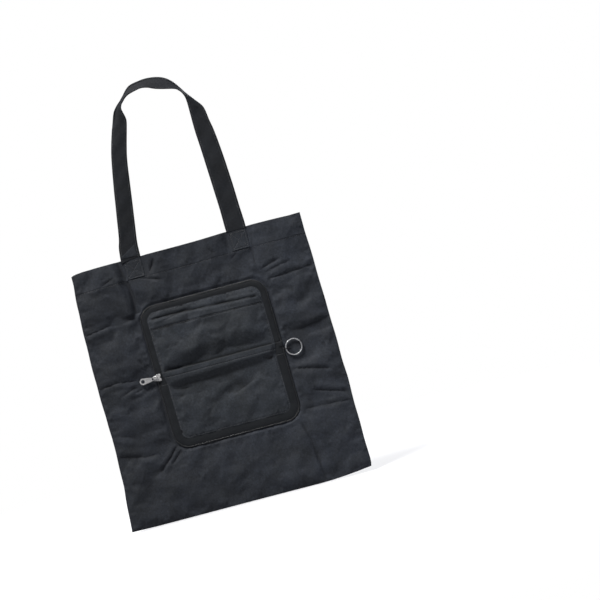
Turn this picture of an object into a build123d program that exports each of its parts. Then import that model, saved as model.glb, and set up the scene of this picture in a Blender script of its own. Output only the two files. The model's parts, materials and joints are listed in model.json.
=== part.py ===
from build123d import *
import math
import os

# Foldable tote bag with a zip pouch on its front, a pull tab and a key ring.
# Frame: +X to the right as seen from the front, +Z up, the front faces -Y.
# The origin is the middle of the bag's bottom edge, halfway between the front
# and back sheets.  The bag lies unfolded and flat, handles up.  Millimetres.

os.makedirs("parts", exist_ok=True)

CLOTH = Color(0.17, 0.19, 0.22)
LIGHT_CLOTH = Color(0.22, 0.24, 0.28)
TRIM = Color(0.06, 0.06, 0.07)      # zip tape, teeth and cord
METAL = Color(0.8, 0.8, 0.82)

# ------------------------------------------------------- shared dimensions
BAG_WIDTH = 380.0
BAG_HEIGHT = 420.0
SHEET_THICK = 0.4
SHEET_GAP = 0.1         # air between the front and the back sheet
SHEET_IN = SHEET_GAP / 2                # distances from the bag's middle plane
SHEET_OUT = SHEET_IN + SHEET_THICK

POUCH_X = 6.0           # centre of the pouch
POUCH_WIDTH = 208.0     # over the zip teeth
POUCH_BOTTOM = 104.0
POUCH_TOP = 338.0
POUCH_HEIGHT = POUCH_TOP - POUCH_BOTTOM
POUCH_R = 26.0          # corner radius over the zip teeth
POUCH_RIGHT = POUCH_X + POUCH_WIDTH / 2
FOLD_Z = (POUCH_BOTTOM + POUCH_TOP) / 2     # the level fold across the pouch

FOLD_LEFT = -102.0      # the two upright fold lines
FOLD_RIGHT = 111.0


def plane_at(y):
    """Upright sketch plane at this y; a positive extrusion runs forward, to -Y."""
    return Plane.XZ.offset(-y)


def keep(block, name, color):
    """Labels a finished piece and writes it to its own file."""
    block.part.label = name
    block.part.color = color
    export_step(block.part, "parts/" + name + ".step")


# ------------------------------------------------------- the bag's two sheets
# Each sheet is divided along the fold lines, so every panel can turn with
# its own fold.
FOLD_GAP = 0.2          # clearance between two panels at a fold line
CORNER_R = 3.0          # the bag's own corners

LAYERS = {"front": (-SHEET_OUT, -SHEET_IN), "back": (SHEET_IN, SHEET_OUT)}
ROWS = {
    "top": (POUCH_TOP, BAG_HEIGHT),
    "upper": (FOLD_Z, POUCH_TOP),
    "lower": (POUCH_BOTTOM, FOLD_Z),
    "bottom": (0.0, POUCH_BOTTOM),
}
COLUMNS = {
    "left": (-BAG_WIDTH / 2, FOLD_LEFT),
    "centre": (FOLD_LEFT, FOLD_RIGHT),
    "right": (FOLD_RIGHT, BAG_WIDTH / 2),
}


def make_panel(layer, row, column):
    """One panel of a sheet, rounded where it holds a corner of the bag."""
    y_front, y_back = LAYERS[layer]
    x_left, x_right = COLUMNS[column]
    z_low, z_high = ROWS[row]
    # half of the fold clearance comes off every inner edge
    x_left += FOLD_GAP / 2 if column != "left" else 0
    x_right -= FOLD_GAP / 2 if column != "right" else 0
    z_low += FOLD_GAP / 2 if row != "bottom" else 0
    z_high -= FOLD_GAP / 2 if row != "top" else 0
    with BuildPart() as panel:
        with BuildSketch(plane_at(y_back)):
            with Locations(((x_left + x_right) / 2, (z_low + z_high) / 2)):
                Rectangle(x_right - x_left, z_high - z_low)
        extrude(amount=y_back - y_front)
        if row in ("top", "bottom") and column != "centre":
            corners = panel.edges().filter_by(Axis.Y).sort_by(Axis.Z)
            pair = corners[-2:] if row == "top" else corners[:2]
            pair = pair.sort_by(Axis.X)
            fillet(pair[0] if column == "left" else pair[-1], radius=CORNER_R)
    keep(panel, f"{layer}_sheet_{row}_{column}", CLOTH)


for layer in LAYERS:
    for row in ROWS:
        for column in COLUMNS:
            make_panel(layer, row, column)

# ------------------------------------------------------------------- handles
STRAP_WIDTH = 29.0
STRAP_THICK = 0.7
END_THICK = 0.75        # sewn end: strap turned under and pressed flat
END_LENGTH = 33.0
END_R = 0.8
HANDLE_LEFT = -87.2
HANDLE_RIGHT = 85.5
LOOP_FOOT_Z = BAG_HEIGHT + 0.3      # just clear of the sewn ends

# distances from the bag's middle plane
END_IN = SHEET_OUT + 0.05
LOOP_IN = END_IN + 0.05

# The strap's loop as it lies, from its left foot to its right.  Columns: x and
# z of the middle line, and the width seen there.  It is narrow where the strap
# turns edge-on into the arch.
LOOP = [
    (HANDLE_LEFT, LOOP_FOOT_Z, STRAP_WIDTH),
    (-82.5, 455.0, 28.0), (-77.5, 495.0, 27.0), (-71.5, 535.0, 26.5),
    (-64.0, 575.0, 26.0), (-55.5, 608.0, 24.5), (-48.5, 633.0, 21.0),
    (-42.5, 655.0, 10.5), (-33.0, 670.0, 9.5), (-17.0, 680.5, 13.5),
    (5.5, 681.5, 17.0), (26.0, 677.0, 20.5), (42.5, 668.0, 15.0),
    (55.5, 657.5, 9.0), (66.0, 643.0, 14.0), (73.0, 629.0, 20.5),
    (75.5, 610.0, 24.0), (77.5, 580.0, 26.5), (80.5, 545.0, 28.0),
    (82.5, 505.0, 28.5), (84.0, 462.0, 29.0),
    (HANDLE_RIGHT, LOOP_FOOT_Z, STRAP_WIDTH),
]


def loop_sides():
    """Points on the strap's outer and inner side lines, square to its run."""
    outer, inner = [], []
    last = len(LOOP) - 1
    for i, (x, z, width) in enumerate(LOOP):
        before = LOOP[max(i - 1, 0)]
        after = LOOP[min(i + 1, last)]
        run_x, run_z = after[0] - before[0], after[1] - before[1]
        if i in (0, last):      # the feet stand upright
            run_x, run_z = 0.0, math.copysign(1.0, run_z)
        run = math.hypot(run_x, run_z)
        side_x = -run_z / run * width / 2
        side_z = run_x / run * width / 2
        outer.append((x + side_x, z + side_z))
        inner.append((x - side_x, z - side_z))
    return outer, inner


def make_handle_loop(side, sign):
    """The strap's loop above the bag's mouth."""
    outer, inner = loop_sides()
    y_back = max(sign * LOOP_IN, sign * (LOOP_IN + STRAP_THICK))
    with BuildPart() as loop:
        with BuildSketch(plane_at(y_back)):
            with BuildLine():
                Spline(*outer)
                Line(outer[-1], inner[-1])
                Spline(*reversed(inner))
                Line(inner[0], outer[0])
            make_face()
        extrude(amount=STRAP_THICK)
    keep(loop, side + "_handle_loop", LIGHT_CLOTH)


def make_handle_end(side, sign, hand, x):
    """A sewn end, pressed flat on the outside of the sheet."""
    y_back = max(sign * END_IN, sign * (END_IN + END_THICK))
    with BuildPart() as end:
        with BuildSketch(plane_at(y_back)):
            with Locations((x, BAG_HEIGHT - END_LENGTH / 2)):
                RectangleRounded(STRAP_WIDTH, END_LENGTH, END_R)
        extrude(amount=END_THICK)
    keep(end, f"{side}_handle_end_{hand}", LIGHT_CLOTH)


for side, sign in (("front", -1), ("back", 1)):
    make_handle_loop(side, sign)
    make_handle_end(side, sign, "left", HANDLE_LEFT)
    make_handle_end(side, sign, "right", HANDLE_RIGHT)

# --------------------------------------------------------------- zip pouch
# Every layer is a rounded rectangle inset from the outer line of the zip
# teeth, cut at the level fold into an upper and a lower half.
# Depths are (front y, back y).
PAD_Y = (-2.1, -0.5)
PAD_INSET = 12.2
TAPE_Y = (-2.1, -1.6)
TAPE_INSETS = (2.45, 12.0)      # outer and inner edge
TEETH_Y = (-2.6, -1.2)
TEETH_WIDTH = 2.4
TEETH_EDGE_R = 0.45
COVER_Y = (-2.8, -2.15)
COVER_INSET = 9.0

MIN_CORNER_R = 3.0
HALF_GAP = 0.3                  # taken off each half at the fold
HALF_BLOCK = (400, 200)         # larger than half the pouch

# cut-outs centred on the fold: x, width, height
SLIDER_ROOM = (FOLD_LEFT, 22, 14.4)
STOP_ROOM = (POUCH_RIGHT, 12, 9.0)


def outline(inset):
    """Width, height and corner radius of the pouch outline at this inset."""
    return (
        POUCH_WIDTH - 2 * inset,
        POUCH_HEIGHT - 2 * inset,
        max(POUCH_R - inset, MIN_CORNER_R),
    )


def make_layer(name, half, color, depth, inset, inner_inset=None, room=None, edge_r=0):
    """Half of one pouch layer; an inner inset leaves only a band round the edge."""
    y_front, y_back = depth
    sign = 1 if half == "upper" else -1
    with BuildPart() as layer:
        with BuildSketch(plane_at(y_back)):
            with Locations((POUCH_X, FOLD_Z)):
                RectangleRounded(*outline(inset))
                if inner_inset is not None:
                    RectangleRounded(*outline(inner_inset), mode=Mode.SUBTRACT)
            with Locations((POUCH_X, FOLD_Z + sign * (HALF_GAP + HALF_BLOCK[1] / 2))):
                Rectangle(*HALF_BLOCK, mode=Mode.INTERSECT)
            if room:
                room_x, room_width, room_height = room
                with Locations((room_x, FOLD_Z)):
                    Rectangle(room_width, room_height, mode=Mode.SUBTRACT)
        extrude(amount=y_back - y_front)
        if edge_r:
            fillet(layer.faces().sort_by(Axis.Y)[0].edges(), radius=edge_r)
    keep(layer, f"{name}_{half}", color)


for half in ("upper", "lower"):
    # padded backing, kept inside the zip tape
    make_layer("pouch_padding", half, LIGHT_CLOTH, PAD_Y, PAD_INSET)
    make_layer("zip_tape", half, TRIM, TAPE_Y, *TAPE_INSETS,
               room=SLIDER_ROOM if half == "lower" else None)
    # one plain band stands for the row of teeth
    make_layer("zip_teeth", half, TRIM, TEETH_Y, 0.0, TEETH_WIDTH,
               room=SLIDER_ROOM if half == "lower" else STOP_ROOM,
               edge_r=TEETH_EDGE_R)
    make_layer("pouch_cover", half, CLOTH, COVER_Y, COVER_INSET)

# ------------------------------------------------------------- slip pocket
POCKET_FRONT, POCKET_BACK = -3.25, -2.85
POCKET_BOTTOM = FOLD_Z + 1.0
POCKET_TOP = 307.0
POCKET_WIDTH = POUCH_WIDTH - 2 * 10.5
HEM_HEIGHT = 9.0
HEM_FRONT = -3.6

# on the upper cover, with a turned hem along its mouth
with BuildPart() as pocket:
    with BuildSketch(plane_at(POCKET_BACK)):
        with Locations((POUCH_X, (POCKET_BOTTOM + POCKET_TOP) / 2)):
            Rectangle(POCKET_WIDTH, POCKET_TOP - POCKET_BOTTOM)
    extrude(amount=POCKET_BACK - POCKET_FRONT)
    with BuildSketch(plane_at(POCKET_FRONT)):
        with Locations((POUCH_X, POCKET_TOP - HEM_HEIGHT / 2)):
            Rectangle(POCKET_WIDTH, HEM_HEIGHT)
    extrude(amount=POCKET_FRONT - HEM_FRONT)
keep(pocket, "slip_pocket", LIGHT_CLOTH)

# ------------------------------------------------------------- end of the zip
STOP_Z = FOLD_Z + 2.6
STOP_HEIGHT = 3.4
STOP_EDGE_R = 0.4
END_TAB_Z = FOLD_Z + 4.9
END_TAB_SIZE = 8.0
END_TAB_R = 2.0
END_TAB_THICK = 0.6
END_TAB_BACK = TEETH_Y[0] - 0.08    # just in front of the teeth

# metal stop that closes the upper row of teeth
with BuildPart() as stop:
    with BuildSketch(plane_at(TEETH_Y[1])):
        with Locations((POUCH_RIGHT - TEETH_WIDTH / 2, STOP_Z)):
            Rectangle(TEETH_WIDTH, STOP_HEIGHT)
    extrude(amount=TEETH_Y[1] - TEETH_Y[0])
    fillet(stop.edges().filter_by(Axis.Z), radius=STOP_EDGE_R)
keep(stop, "zip_end_stop", METAL)

# cloth tab over the stop
with BuildPart() as end_tab:
    with BuildSketch(plane_at(END_TAB_BACK)):
        with Locations((POUCH_RIGHT - END_TAB_SIZE / 2, END_TAB_Z)):
            RectangleRounded(END_TAB_SIZE, END_TAB_SIZE, END_TAB_R)
    extrude(amount=END_TAB_THICK)
keep(end_tab, "zip_end_tab", TRIM)

# --------------------------------------------------------------- zip slider
SLIDER_X, SLIDER_Z = -96.4, 224.2
SLIDER_LENGTH, SLIDER_WIDTH = 12.4, 11.4
SLIDER_FRONT, SLIDER_BACK = -4.4, -0.55
SLOT_FRONT, SLOT_BACK = -2.72, -1.08    # room for tape and teeth
NOSE_X = SLIDER_X - SLIDER_LENGTH / 2
MOUTH_X = SLIDER_X + SLIDER_LENGTH / 2
NOSE_HALF = 3.4                 # half width at the nose
MOUTH_HALF = SLIDER_WIDTH / 2
SHOULDER_HALF = MOUTH_HALF - 1.2
SHOULDER_X = SLIDER_X - 1.6     # where the flanks turn
FLANK_X = SLIDER_X + 2.6        # where the full width starts
NOTCH_HALF = 1.6                # V notch in the mouth
NOTCH_DEPTH = 2.2
NOSE_R, MOUTH_R = 1.6, 0.5
SLIDER_EDGE_R = 0.35
SLOT_LEFT = NOSE_X + 3.6        # the nose stays solid to here
SLOT_RIGHT = SLIDER_X + 20      # past the mouth
SLOT_HEIGHT = 40                # past both flanks

with BuildPart() as slider:
    # plan: narrow nose towards -X, wide mouth towards the pouch
    with BuildSketch(plane_at(SLIDER_BACK)):
        with BuildLine():
            Polyline(
                (NOSE_X, SLIDER_Z - NOSE_HALF),
                (NOSE_X, SLIDER_Z + NOSE_HALF),
                (SHOULDER_X, SLIDER_Z + SHOULDER_HALF),
                (FLANK_X, SLIDER_Z + MOUTH_HALF),
                (MOUTH_X, SLIDER_Z + MOUTH_HALF),
                (MOUTH_X, SLIDER_Z + NOTCH_HALF),
                (MOUTH_X - NOTCH_DEPTH, SLIDER_Z),
                (MOUTH_X, SLIDER_Z - NOTCH_HALF),
                (MOUTH_X, SLIDER_Z - MOUTH_HALF),
                (FLANK_X, SLIDER_Z - MOUTH_HALF),
                (SHOULDER_X, SLIDER_Z - SHOULDER_HALF),
                (NOSE_X, SLIDER_Z - NOSE_HALF),
            )
        make_face()
    extrude(amount=SLIDER_BACK - SLIDER_FRONT)
    fillet(slider.edges().filter_by(Axis.Y).group_by(Axis.X)[0], radius=NOSE_R)
    fillet(slider.edges().filter_by(Axis.Y).group_by(Axis.X)[-1], radius=MOUTH_R)
    # the channel the tape and teeth run through
    with BuildSketch(plane_at(SLOT_BACK)):
        with Locations(((SLOT_LEFT + SLOT_RIGHT) / 2, SLIDER_Z)):
            Rectangle(SLOT_RIGHT - SLOT_LEFT, SLOT_HEIGHT)
    extrude(amount=SLOT_BACK - SLOT_FRONT, mode=Mode.SUBTRACT)
    fillet(slider.faces().sort_by(Axis.Y)[0].edges(), radius=SLIDER_EDGE_R)
keep(slider, "slider_body", METAL)

# ------------------------------------------------------ bridge and pull tab
TAB_Y = -5.5            # middle plane of the pull tab
TAB_THICK = 1.2
TAB_PIVOT_X = -99.3     # middle of the bar held under the bridge
TAB_BAR_HALF = 0.8      # from the pivot to the tab's right edge
TAB_HOLE_X, TAB_HOLE_R, TAB_END_R = -119.4, 2.9, 5.1

# (x, half width) where the tab's outline turns, from the bridge to the round end
TAB_STATIONS = [
    (TAB_PIVOT_X + TAB_BAR_HALF, 2.6),
    (TAB_PIVOT_X - 5.6, 2.6),
    (TAB_PIVOT_X - 7.2, 3.3),
    (TAB_HOLE_X + 0.9, TAB_END_R - 0.05),
]
WINDOW_X = TAB_PIVOT_X - 3.35
WINDOW_SIZE = (5.1, 3.4)
PRESSED_X = TAB_PIVOT_X - 11.2
PRESSED_SIZE = (7.2, 3.6, 1.0)  # length, width, corner radius
PRESSED_DEPTH = 0.25
TAB_CORNER_R = 0.7

BRIDGE_LEFT, BRIDGE_RIGHT = TAB_PIVOT_X - 2.8, TAB_PIVOT_X + 3.6
BRIDGE_FRONT = TAB_Y - 2.2
BRIDGE_WIDTH = 2.6
BRIDGE_LEG = 1.2
BRIDGE_CROWN = 1.0
BRIDGE_R = 0.9

# the bridge on the slider's front that holds the pull tab
with BuildPart() as bridge:
    with BuildSketch(Plane.XY.offset(SLIDER_Z - BRIDGE_WIDTH / 2)):
        with BuildLine():
            Polyline(
                (BRIDGE_LEFT, SLIDER_FRONT),
                (BRIDGE_LEFT, BRIDGE_FRONT),
                (BRIDGE_RIGHT, BRIDGE_FRONT),
                (BRIDGE_RIGHT, SLIDER_FRONT),
                (BRIDGE_RIGHT - BRIDGE_LEG, SLIDER_FRONT),
                (BRIDGE_RIGHT - BRIDGE_LEG, BRIDGE_FRONT + BRIDGE_CROWN),
                (BRIDGE_LEFT + BRIDGE_LEG, BRIDGE_FRONT + BRIDGE_CROWN),
                (BRIDGE_LEFT + BRIDGE_LEG, SLIDER_FRONT),
                (BRIDGE_LEFT, SLIDER_FRONT),
            )
        make_face()
    extrude(amount=BRIDGE_WIDTH)
    fillet(bridge.edges().filter_by(Axis.Z).sort_by(Axis.Y)[:2], radius=BRIDGE_R)
keep(bridge, "slider_bridge", METAL)

# a flat tongue, narrow at the bridge, round with a hole at its left end
tab_upper = [(x, SLIDER_Z + half_width) for x, half_width in TAB_STATIONS]
tab_lower = [(x, SLIDER_Z - half_width) for x, half_width in TAB_STATIONS]
with BuildPart() as tab:
    with BuildSketch(plane_at(TAB_Y + TAB_THICK / 2)):
        with BuildLine():
            Polyline(tab_lower[0], *tab_upper, *reversed(tab_lower))
        make_face()
        with Locations((TAB_HOLE_X, SLIDER_Z)):
            Circle(TAB_END_R)
            Circle(TAB_HOLE_R, mode=Mode.SUBTRACT)
        # window the bridge's left leg passes through
        with Locations((WINDOW_X, SLIDER_Z)):
            Rectangle(*WINDOW_SIZE, mode=Mode.SUBTRACT)
    extrude(amount=TAB_THICK)
    # shallow pressed panel on the front of the tongue
    with BuildSketch(plane_at(TAB_Y - TAB_THICK / 2)):
        with Locations((PRESSED_X, SLIDER_Z)):
            RectangleRounded(*PRESSED_SIZE)
    extrude(amount=-PRESSED_DEPTH, mode=Mode.SUBTRACT)
    fillet(tab.edges().filter_by(Axis.Y).group_by(Axis.X)[-1], radius=TAB_CORNER_R)
keep(tab, "pull_tab", METAL)

# ------------------------------------------------------ key ring and its cord
RING_X, RING_Y, RING_Z = 126.1, -3.62, 217.0
RING_R_OUT, RING_R_IN = 13.5, 11.9
RING_R_MID = (RING_R_OUT + RING_R_IN) / 2
RING_AXIAL = 2.1        # thickness along Y
RING_EDGE_R = 0.35
GROOVE_SIZE = (0.5, 0.14)       # centred on the rim, so half of the first cuts in
STEP_SIZE = (1.3, 3.2)          # radial, along the wire
STEP_DEPTH = 0.75

CORD = 1.5              # cord diameter
CORD_X = 113.1          # centre of the cord loop's left bend
CORD_BEND = 2.27
CORD_REACH = 5.0        # between the centres of the two bends
CORD_FRONT = RING_Y - CORD_BEND
CORD_BACK = RING_Y + CORD_BEND

# closed cord loop in a level plane, its left bend beside the pouch's edge
with BuildPart() as cord_loop:
    with BuildLine():
        front_run = Polyline(
            (CORD_X, CORD_FRONT, RING_Z),
            (CORD_X + CORD_REACH, CORD_FRONT, RING_Z),
        )
        JernArc(front_run @ 1, front_run % 1, CORD_BEND, 180)
        Line((CORD_X + CORD_REACH, CORD_BACK, RING_Z), (CORD_X, CORD_BACK, RING_Z))
        JernArc((CORD_X, CORD_BACK, RING_Z), (-1, 0, 0), CORD_BEND, 180)
    with BuildSketch(Plane(origin=(CORD_X, CORD_FRONT, RING_Z), z_dir=(1, 0, 0))):
        Circle(CORD / 2)
    sweep()
keep(cord_loop, "ring_cord", TRIM)

# split ring: a groove round each rim marks two turns of flat wire
with BuildPart() as key_ring:
    with BuildSketch(Plane(origin=(RING_X, RING_Y, RING_Z), x_dir=(1, 0, 0),
                           z_dir=(0, 0, 1))):
        with Locations((RING_R_MID, 0)):
            RectangleRounded(RING_R_OUT - RING_R_IN, RING_AXIAL, RING_EDGE_R)
        for rim in (RING_R_OUT, RING_R_IN):
            with Locations((rim, 0)):
                Rectangle(*GROOVE_SIZE, mode=Mode.SUBTRACT)
    revolve(axis=Axis((RING_X, RING_Y, RING_Z), (0, 1, 0)), revolution_arc=360)
    # the wire's two ends: a short step in the front face, then in the back one
    for step_back, turn in (
        (RING_Y - RING_AXIAL / 2 + STEP_DEPTH, 25.0),
        (RING_Y + RING_AXIAL / 2, 205.0),
    ):
        with BuildSketch(plane_at(step_back)):
            with Locations((
                RING_X + RING_R_MID * math.cos(math.radians(turn)),
                RING_Z + RING_R_MID * math.sin(math.radians(turn)),
            )):
                Rectangle(*STEP_SIZE, rotation=turn)
        extrude(amount=STEP_DEPTH, mode=Mode.SUBTRACT)
keep(key_ring, "key_ring", METAL)
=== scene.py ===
import bpy, json, math
import numpy as np
from mathutils import Matrix, Vector


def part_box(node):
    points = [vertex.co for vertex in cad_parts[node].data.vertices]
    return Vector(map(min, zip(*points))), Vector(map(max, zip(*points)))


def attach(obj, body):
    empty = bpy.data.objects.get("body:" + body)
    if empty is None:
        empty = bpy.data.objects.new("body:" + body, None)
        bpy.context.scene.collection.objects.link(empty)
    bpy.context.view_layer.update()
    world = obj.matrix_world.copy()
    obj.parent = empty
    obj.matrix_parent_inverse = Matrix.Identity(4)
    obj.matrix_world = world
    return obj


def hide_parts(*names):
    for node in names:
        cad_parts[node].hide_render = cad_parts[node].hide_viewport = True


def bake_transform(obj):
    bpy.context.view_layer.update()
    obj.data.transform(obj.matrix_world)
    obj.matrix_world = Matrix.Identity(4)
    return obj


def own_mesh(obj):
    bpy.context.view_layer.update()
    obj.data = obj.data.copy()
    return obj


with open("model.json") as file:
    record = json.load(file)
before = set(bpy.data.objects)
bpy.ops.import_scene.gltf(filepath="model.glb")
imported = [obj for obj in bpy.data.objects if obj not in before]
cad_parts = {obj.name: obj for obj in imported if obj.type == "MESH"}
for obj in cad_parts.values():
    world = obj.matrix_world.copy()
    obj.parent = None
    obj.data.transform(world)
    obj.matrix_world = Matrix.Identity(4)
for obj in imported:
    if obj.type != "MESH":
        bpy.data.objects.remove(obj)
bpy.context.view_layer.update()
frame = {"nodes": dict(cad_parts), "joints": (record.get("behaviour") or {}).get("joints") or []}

# ------------------------------------------------------------------ numbers
# Everything below is in millimetres in the row frame; meshes are scaled to
# metres when they are made.  Places come from the CAD nodes.
def cadbox(n):
    lo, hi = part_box(n)
    return [c * 1000 for c in lo], [c * 1000 for c in hi]

FL = cadbox("front_sheet_upper_centre")[0][0] - 0.1      # left fold line
FR = cadbox("front_sheet_upper_centre")[1][0] + 0.1      # right fold line
ZB = cadbox("front_sheet_bottom_centre")[1][2] + 0.1     # bottom fold line
ZT = cadbox("front_sheet_top_centre")[0][2] - 0.1        # top fold line
HW = cadbox("front_sheet_top_right")[1][0]               # half of the width
HT = cadbox("front_sheet_top_right")[1][2]               # height of the bag
MID = (ZB + ZT) / 2
PX0, PX1 = cadbox("zip_teeth_upper")[0][0], cadbox("zip_teeth_upper")[1][0]
PX = (PX0 + PX1) / 2
PR = 26.0                                                # pouch corner
SP = 10.0                                                # half of the spine strip
J = {j["name"]: j for j in frame["joints"]}
AX_B = J["left_wing_fold"]["pos_m"][1] * 1000            # fold axes behind the cloth
AX_A = J["top_flap_fold"]["pos_m"][1] * 1000
HL = (cadbox("front_handle_end_left")[0][0] + cadbox("front_handle_end_left")[1][0]) / 2
HR = (cadbox("front_handle_end_right")[0][0] + cadbox("front_handle_end_right")[1][0]) / 2
HEM = cadbox("front_handle_end_left")[0][2]
POCKET_Z = cadbox("slip_pocket")[1][2]
SL0, SL1 = cadbox("slider_body")
RG0, RG1 = cadbox("key_ring")
PT0, PT1 = cadbox("pull_tab")
T_CLOTH = 0.45


def grid_faces(nr, nc, off=0, flip=False):
    i, j = np.meshgrid(np.arange(nr - 1), np.arange(nc - 1), indexing="ij")
    a = off + i * nc + j
    q = np.stack([a, a + 1, a + nc + 1, a + nc], -1).reshape(-1, 4)
    if flip:
        q = q[:, ::-1]
    return q.tolist()


def sstep(a, b, x):
    t = np.clip((np.asarray(x, float) - a) / (b - a), 0, 1)
    return t * t * (3 - 2 * t)


def lerp(a, b, t):
    return a + (b - a) * t


# -------------------------------------------------------------------- noise
def waves(seed, n, lo, hi):
    r = np.random.default_rng(seed)
    lam = np.exp(r.uniform(np.log(lo), np.log(hi), n))
    th = r.uniform(0, 2 * np.pi, n)
    ph = r.uniform(0, 2 * np.pi, n)
    return 2 * np.pi / lam * np.cos(th), 2 * np.pi / lam * np.sin(th), ph, lam / hi


def noise(w, X, Z):
    kx, kz, ph, am = w
    out = np.zeros(np.shape(X))
    for a, b, p, m in zip(kx, kz, ph, am):
        out += m * np.sin(a * X + b * Z + p)
    return out / math.sqrt(len(kx) / 2)


W_BIG = waves(11, 14, 90, 190)
W_MED = waves(12, 16, 38, 85)
W_SML = waves(13, 20, 14, 34)
W_FIN = waves(14, 22, 6, 13)
W_R1 = waves(15, 10, 70, 130)
W_R2 = waves(16, 12, 34, 70)


def crumple(X, Z, seed=0):
    """Soft facets meeting in low ridges, as cloth that was folded small."""
    s = seed * 137.0
    a = np.abs(noise(W_R1, X + s, Z - s))
    b = np.abs(noise(W_R2, X - s, Z + 2 * s))
    wx = X + 6 * noise(W_MED, X + s, Z)
    wz = Z + 6 * noise(W_MED, X, Z - s)
    c = np.abs(noise(W_R2, 1.7 * wx + 31, 1.7 * wz - 17))
    return 0.55 - (0.62 * a + 0.40 * b + 0.22 * c) + 0.10 * noise(W_SML, X + s, Z)


# ------------------------------------------------------------------ creases
def polydist(X, Z, pts):
    best = np.full(np.shape(X), 1e9)
    side = np.zeros(np.shape(X))
    along = np.zeros(np.shape(X))
    pts = [np.array(p, float) for p in pts]
    lens = [np.hypot(*(b - a)) for a, b in zip(pts, pts[1:])]
    total, run = sum(lens), 0.0
    for a, b, L in zip(pts, pts[1:], lens):
        d = (b - a) / L
        u = (X - a[0]) * d[0] + (Z - a[1]) * d[1]
        uc = np.clip(u, 0, L)
        qx, qz = X - a[0] - uc * d[0], Z - a[1] - uc * d[1]
        r = np.hypot(qx, qz)
        hit = r < best
        best = np.where(hit, r, best)
        side = np.where(hit, np.sign(d[0] * (Z - a[1]) - d[1] * (X - a[0])), side)
        along = np.where(hit, (run + uc) / total, along)
        run += L
    return best, side, along


# kind V: sharp pressed line; G: soft hollow; S: step, lower on one side only
# (points, depth, half width, kind, share of the length that fades at each end)
FRONT = [
    ([(-107, 424), (-105.6, 410), (-102.5, 388), (-98.7, 366), (-95.8, 330)], 3.0, 8.5, "S", 0.04),
    ([(-190, 316), (-162, 320.5), (-137, 324.5), (-102, 324)], 1.2, 2.6, "V", 0.12),
    ([(-190, 322), (-150, 329), (-104, 331)], 0.9, 7.0, "G", 0.2),
    ([(111, 330), (148, 332.5), (190, 335.5)], 1.25, 2.6, "V", 0.08),
    ([(112, 325), (150, 326), (188, 329)], 0.8, 6.0, "G", 0.2),
    ([(99, 398), (100.5, 370), (103, 338)], 0.9, 3.0, "V", 0.2),
    ([(104, 347.5), (122, 353.5), (143, 359)], 1.1, 2.2, "V", 0.35),
    ([(111, 342), (134, 347.5), (160, 351)], 0.9, 2.0, "V", 0.35),
    ([(-190, 228.5), (-158, 232), (-126, 227.5), (-108, 224)], 1.3, 3.0, "V", 0.12),
    ([(-185, 224), (-150, 221), (-118, 213)], 0.9, 5.5, "G", 0.25),
    ([(-142, 208), (-118, 213.5), (-101, 219)], 1.3, 2.4, "V", 0.3),
    ([(-162, 207), (-138, 216), (-112, 220.5)], 0.9, 2.2, "V", 0.35),
    ([(-150, 199), (-128, 203), (-106, 212)], 0.8, 4.0, "G", 0.3),
    ([(-118, 262), (-109, 244), (-102, 231)], 1.6, 3.4, "G", 0.3),
    ([(-108, 262), (-105, 247), (-101, 234)], 1.1, 2.0, "V", 0.35),
    ([(-121, 249), (-111, 240), (-103, 232)], 0.9, 1.8, "V", 0.4),
    ([(113, 228), (128, 236.5), (150, 243.5), (190, 249.5)], 1.5, 3.0, "V", 0.06),
    ([(118, 226), (145, 235), (190, 241)], 2.8, 8.0, "G", 0.15),
    ([(112, 184), (140, 177.5), (174, 168)], 1.5, 2.6, "V", 0.22),
    ([(118, 180), (145, 171), (172, 163)], 0.8, 6.0, "G", 0.3),
    ([(132, 144), (160, 134.5), (191, 124.5)], 1.7, 3.0, "V", 0.2),
    ([(128, 137), (158, 127.5), (188, 117)], 1.0, 5.5, "G", 0.3),
    ([(114, 116.5), (150, 115), (190, 112)], 0.9, 2.6, "V", 0.15),
    ([(-190, 118.5), (-170, 113), (-146, 107), (-120, 106)], 1.1, 3.0, "V", 0.2),
    ([(-190, 111), (-168, 106), (-150, 103)], 1.3, 6.5, "G", 0.3),
    ([(-183, 151), (-160, 144), (-150, 138)], 0.9, 3.4, "V", 0.4),
    ([(-91, 115), (-108, 96), (-131, 75)], 1.5, 2.3, "V", 0.18),
    ([(-84, 108), (-99, 93), (-112, 82)], 0.8, 2.0, "V", 0.3),
    ([(121, 0), (118, 30), (113, 70), (105, 106)], 1.1, 8.0, "S", 0.2),
    ([(-53, 412), (-58, 401), (-66, 389)], 1.3, 2.3, "V", 0.3),
    ([(-101, 390.5), (-75, 383), (-45, 372.5)], 1.3, 2.0, "V", 0.25),
    ([(33, 407), (37, 398), (44, 392)], 0.8, 2.0, "V", 0.4),
    ([(-150, 386), (-132, 393), (-117, 399)], 0.6, 1.8, "V", 0.4),
    ([(-178, 372), (-150, 377), (-125, 372)], 0.9, 9.0, "G", 0.4),
    ([(60, 372), (75, 383), (84, 392)], 0.7, 3.0, "V", 0.4),
    ([(-40, 356), (0, 352), (40, 356)], 0.6, 7.0, "G", 0.4),
    ([(-186, 268), (-150, 262), (-122, 268)], 0.7, 9.0, "G", 0.4),
    ([(126, 292), (150, 284), (182, 288)], 0.7, 8.0, "G", 0.4),
    ([(132, 206), (152, 200), (184, 203)], 0.6, 7.0, "G", 0.4),
    ([(-60, 72), (-20, 60), (30, 66)], 0.6, 9.0, "G", 0.4),
    ([(20, 40), (60, 52), (96, 48)], 0.6, 8.0, "G", 0.4),
    ([(-170, 52), (-140, 44), (-112, 50)], 0.6, 8.0, "G", 0.4),
    ([(140, 60), (160, 48), (184, 52)], 0.6, 8.0, "G", 0.4),
]
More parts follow.
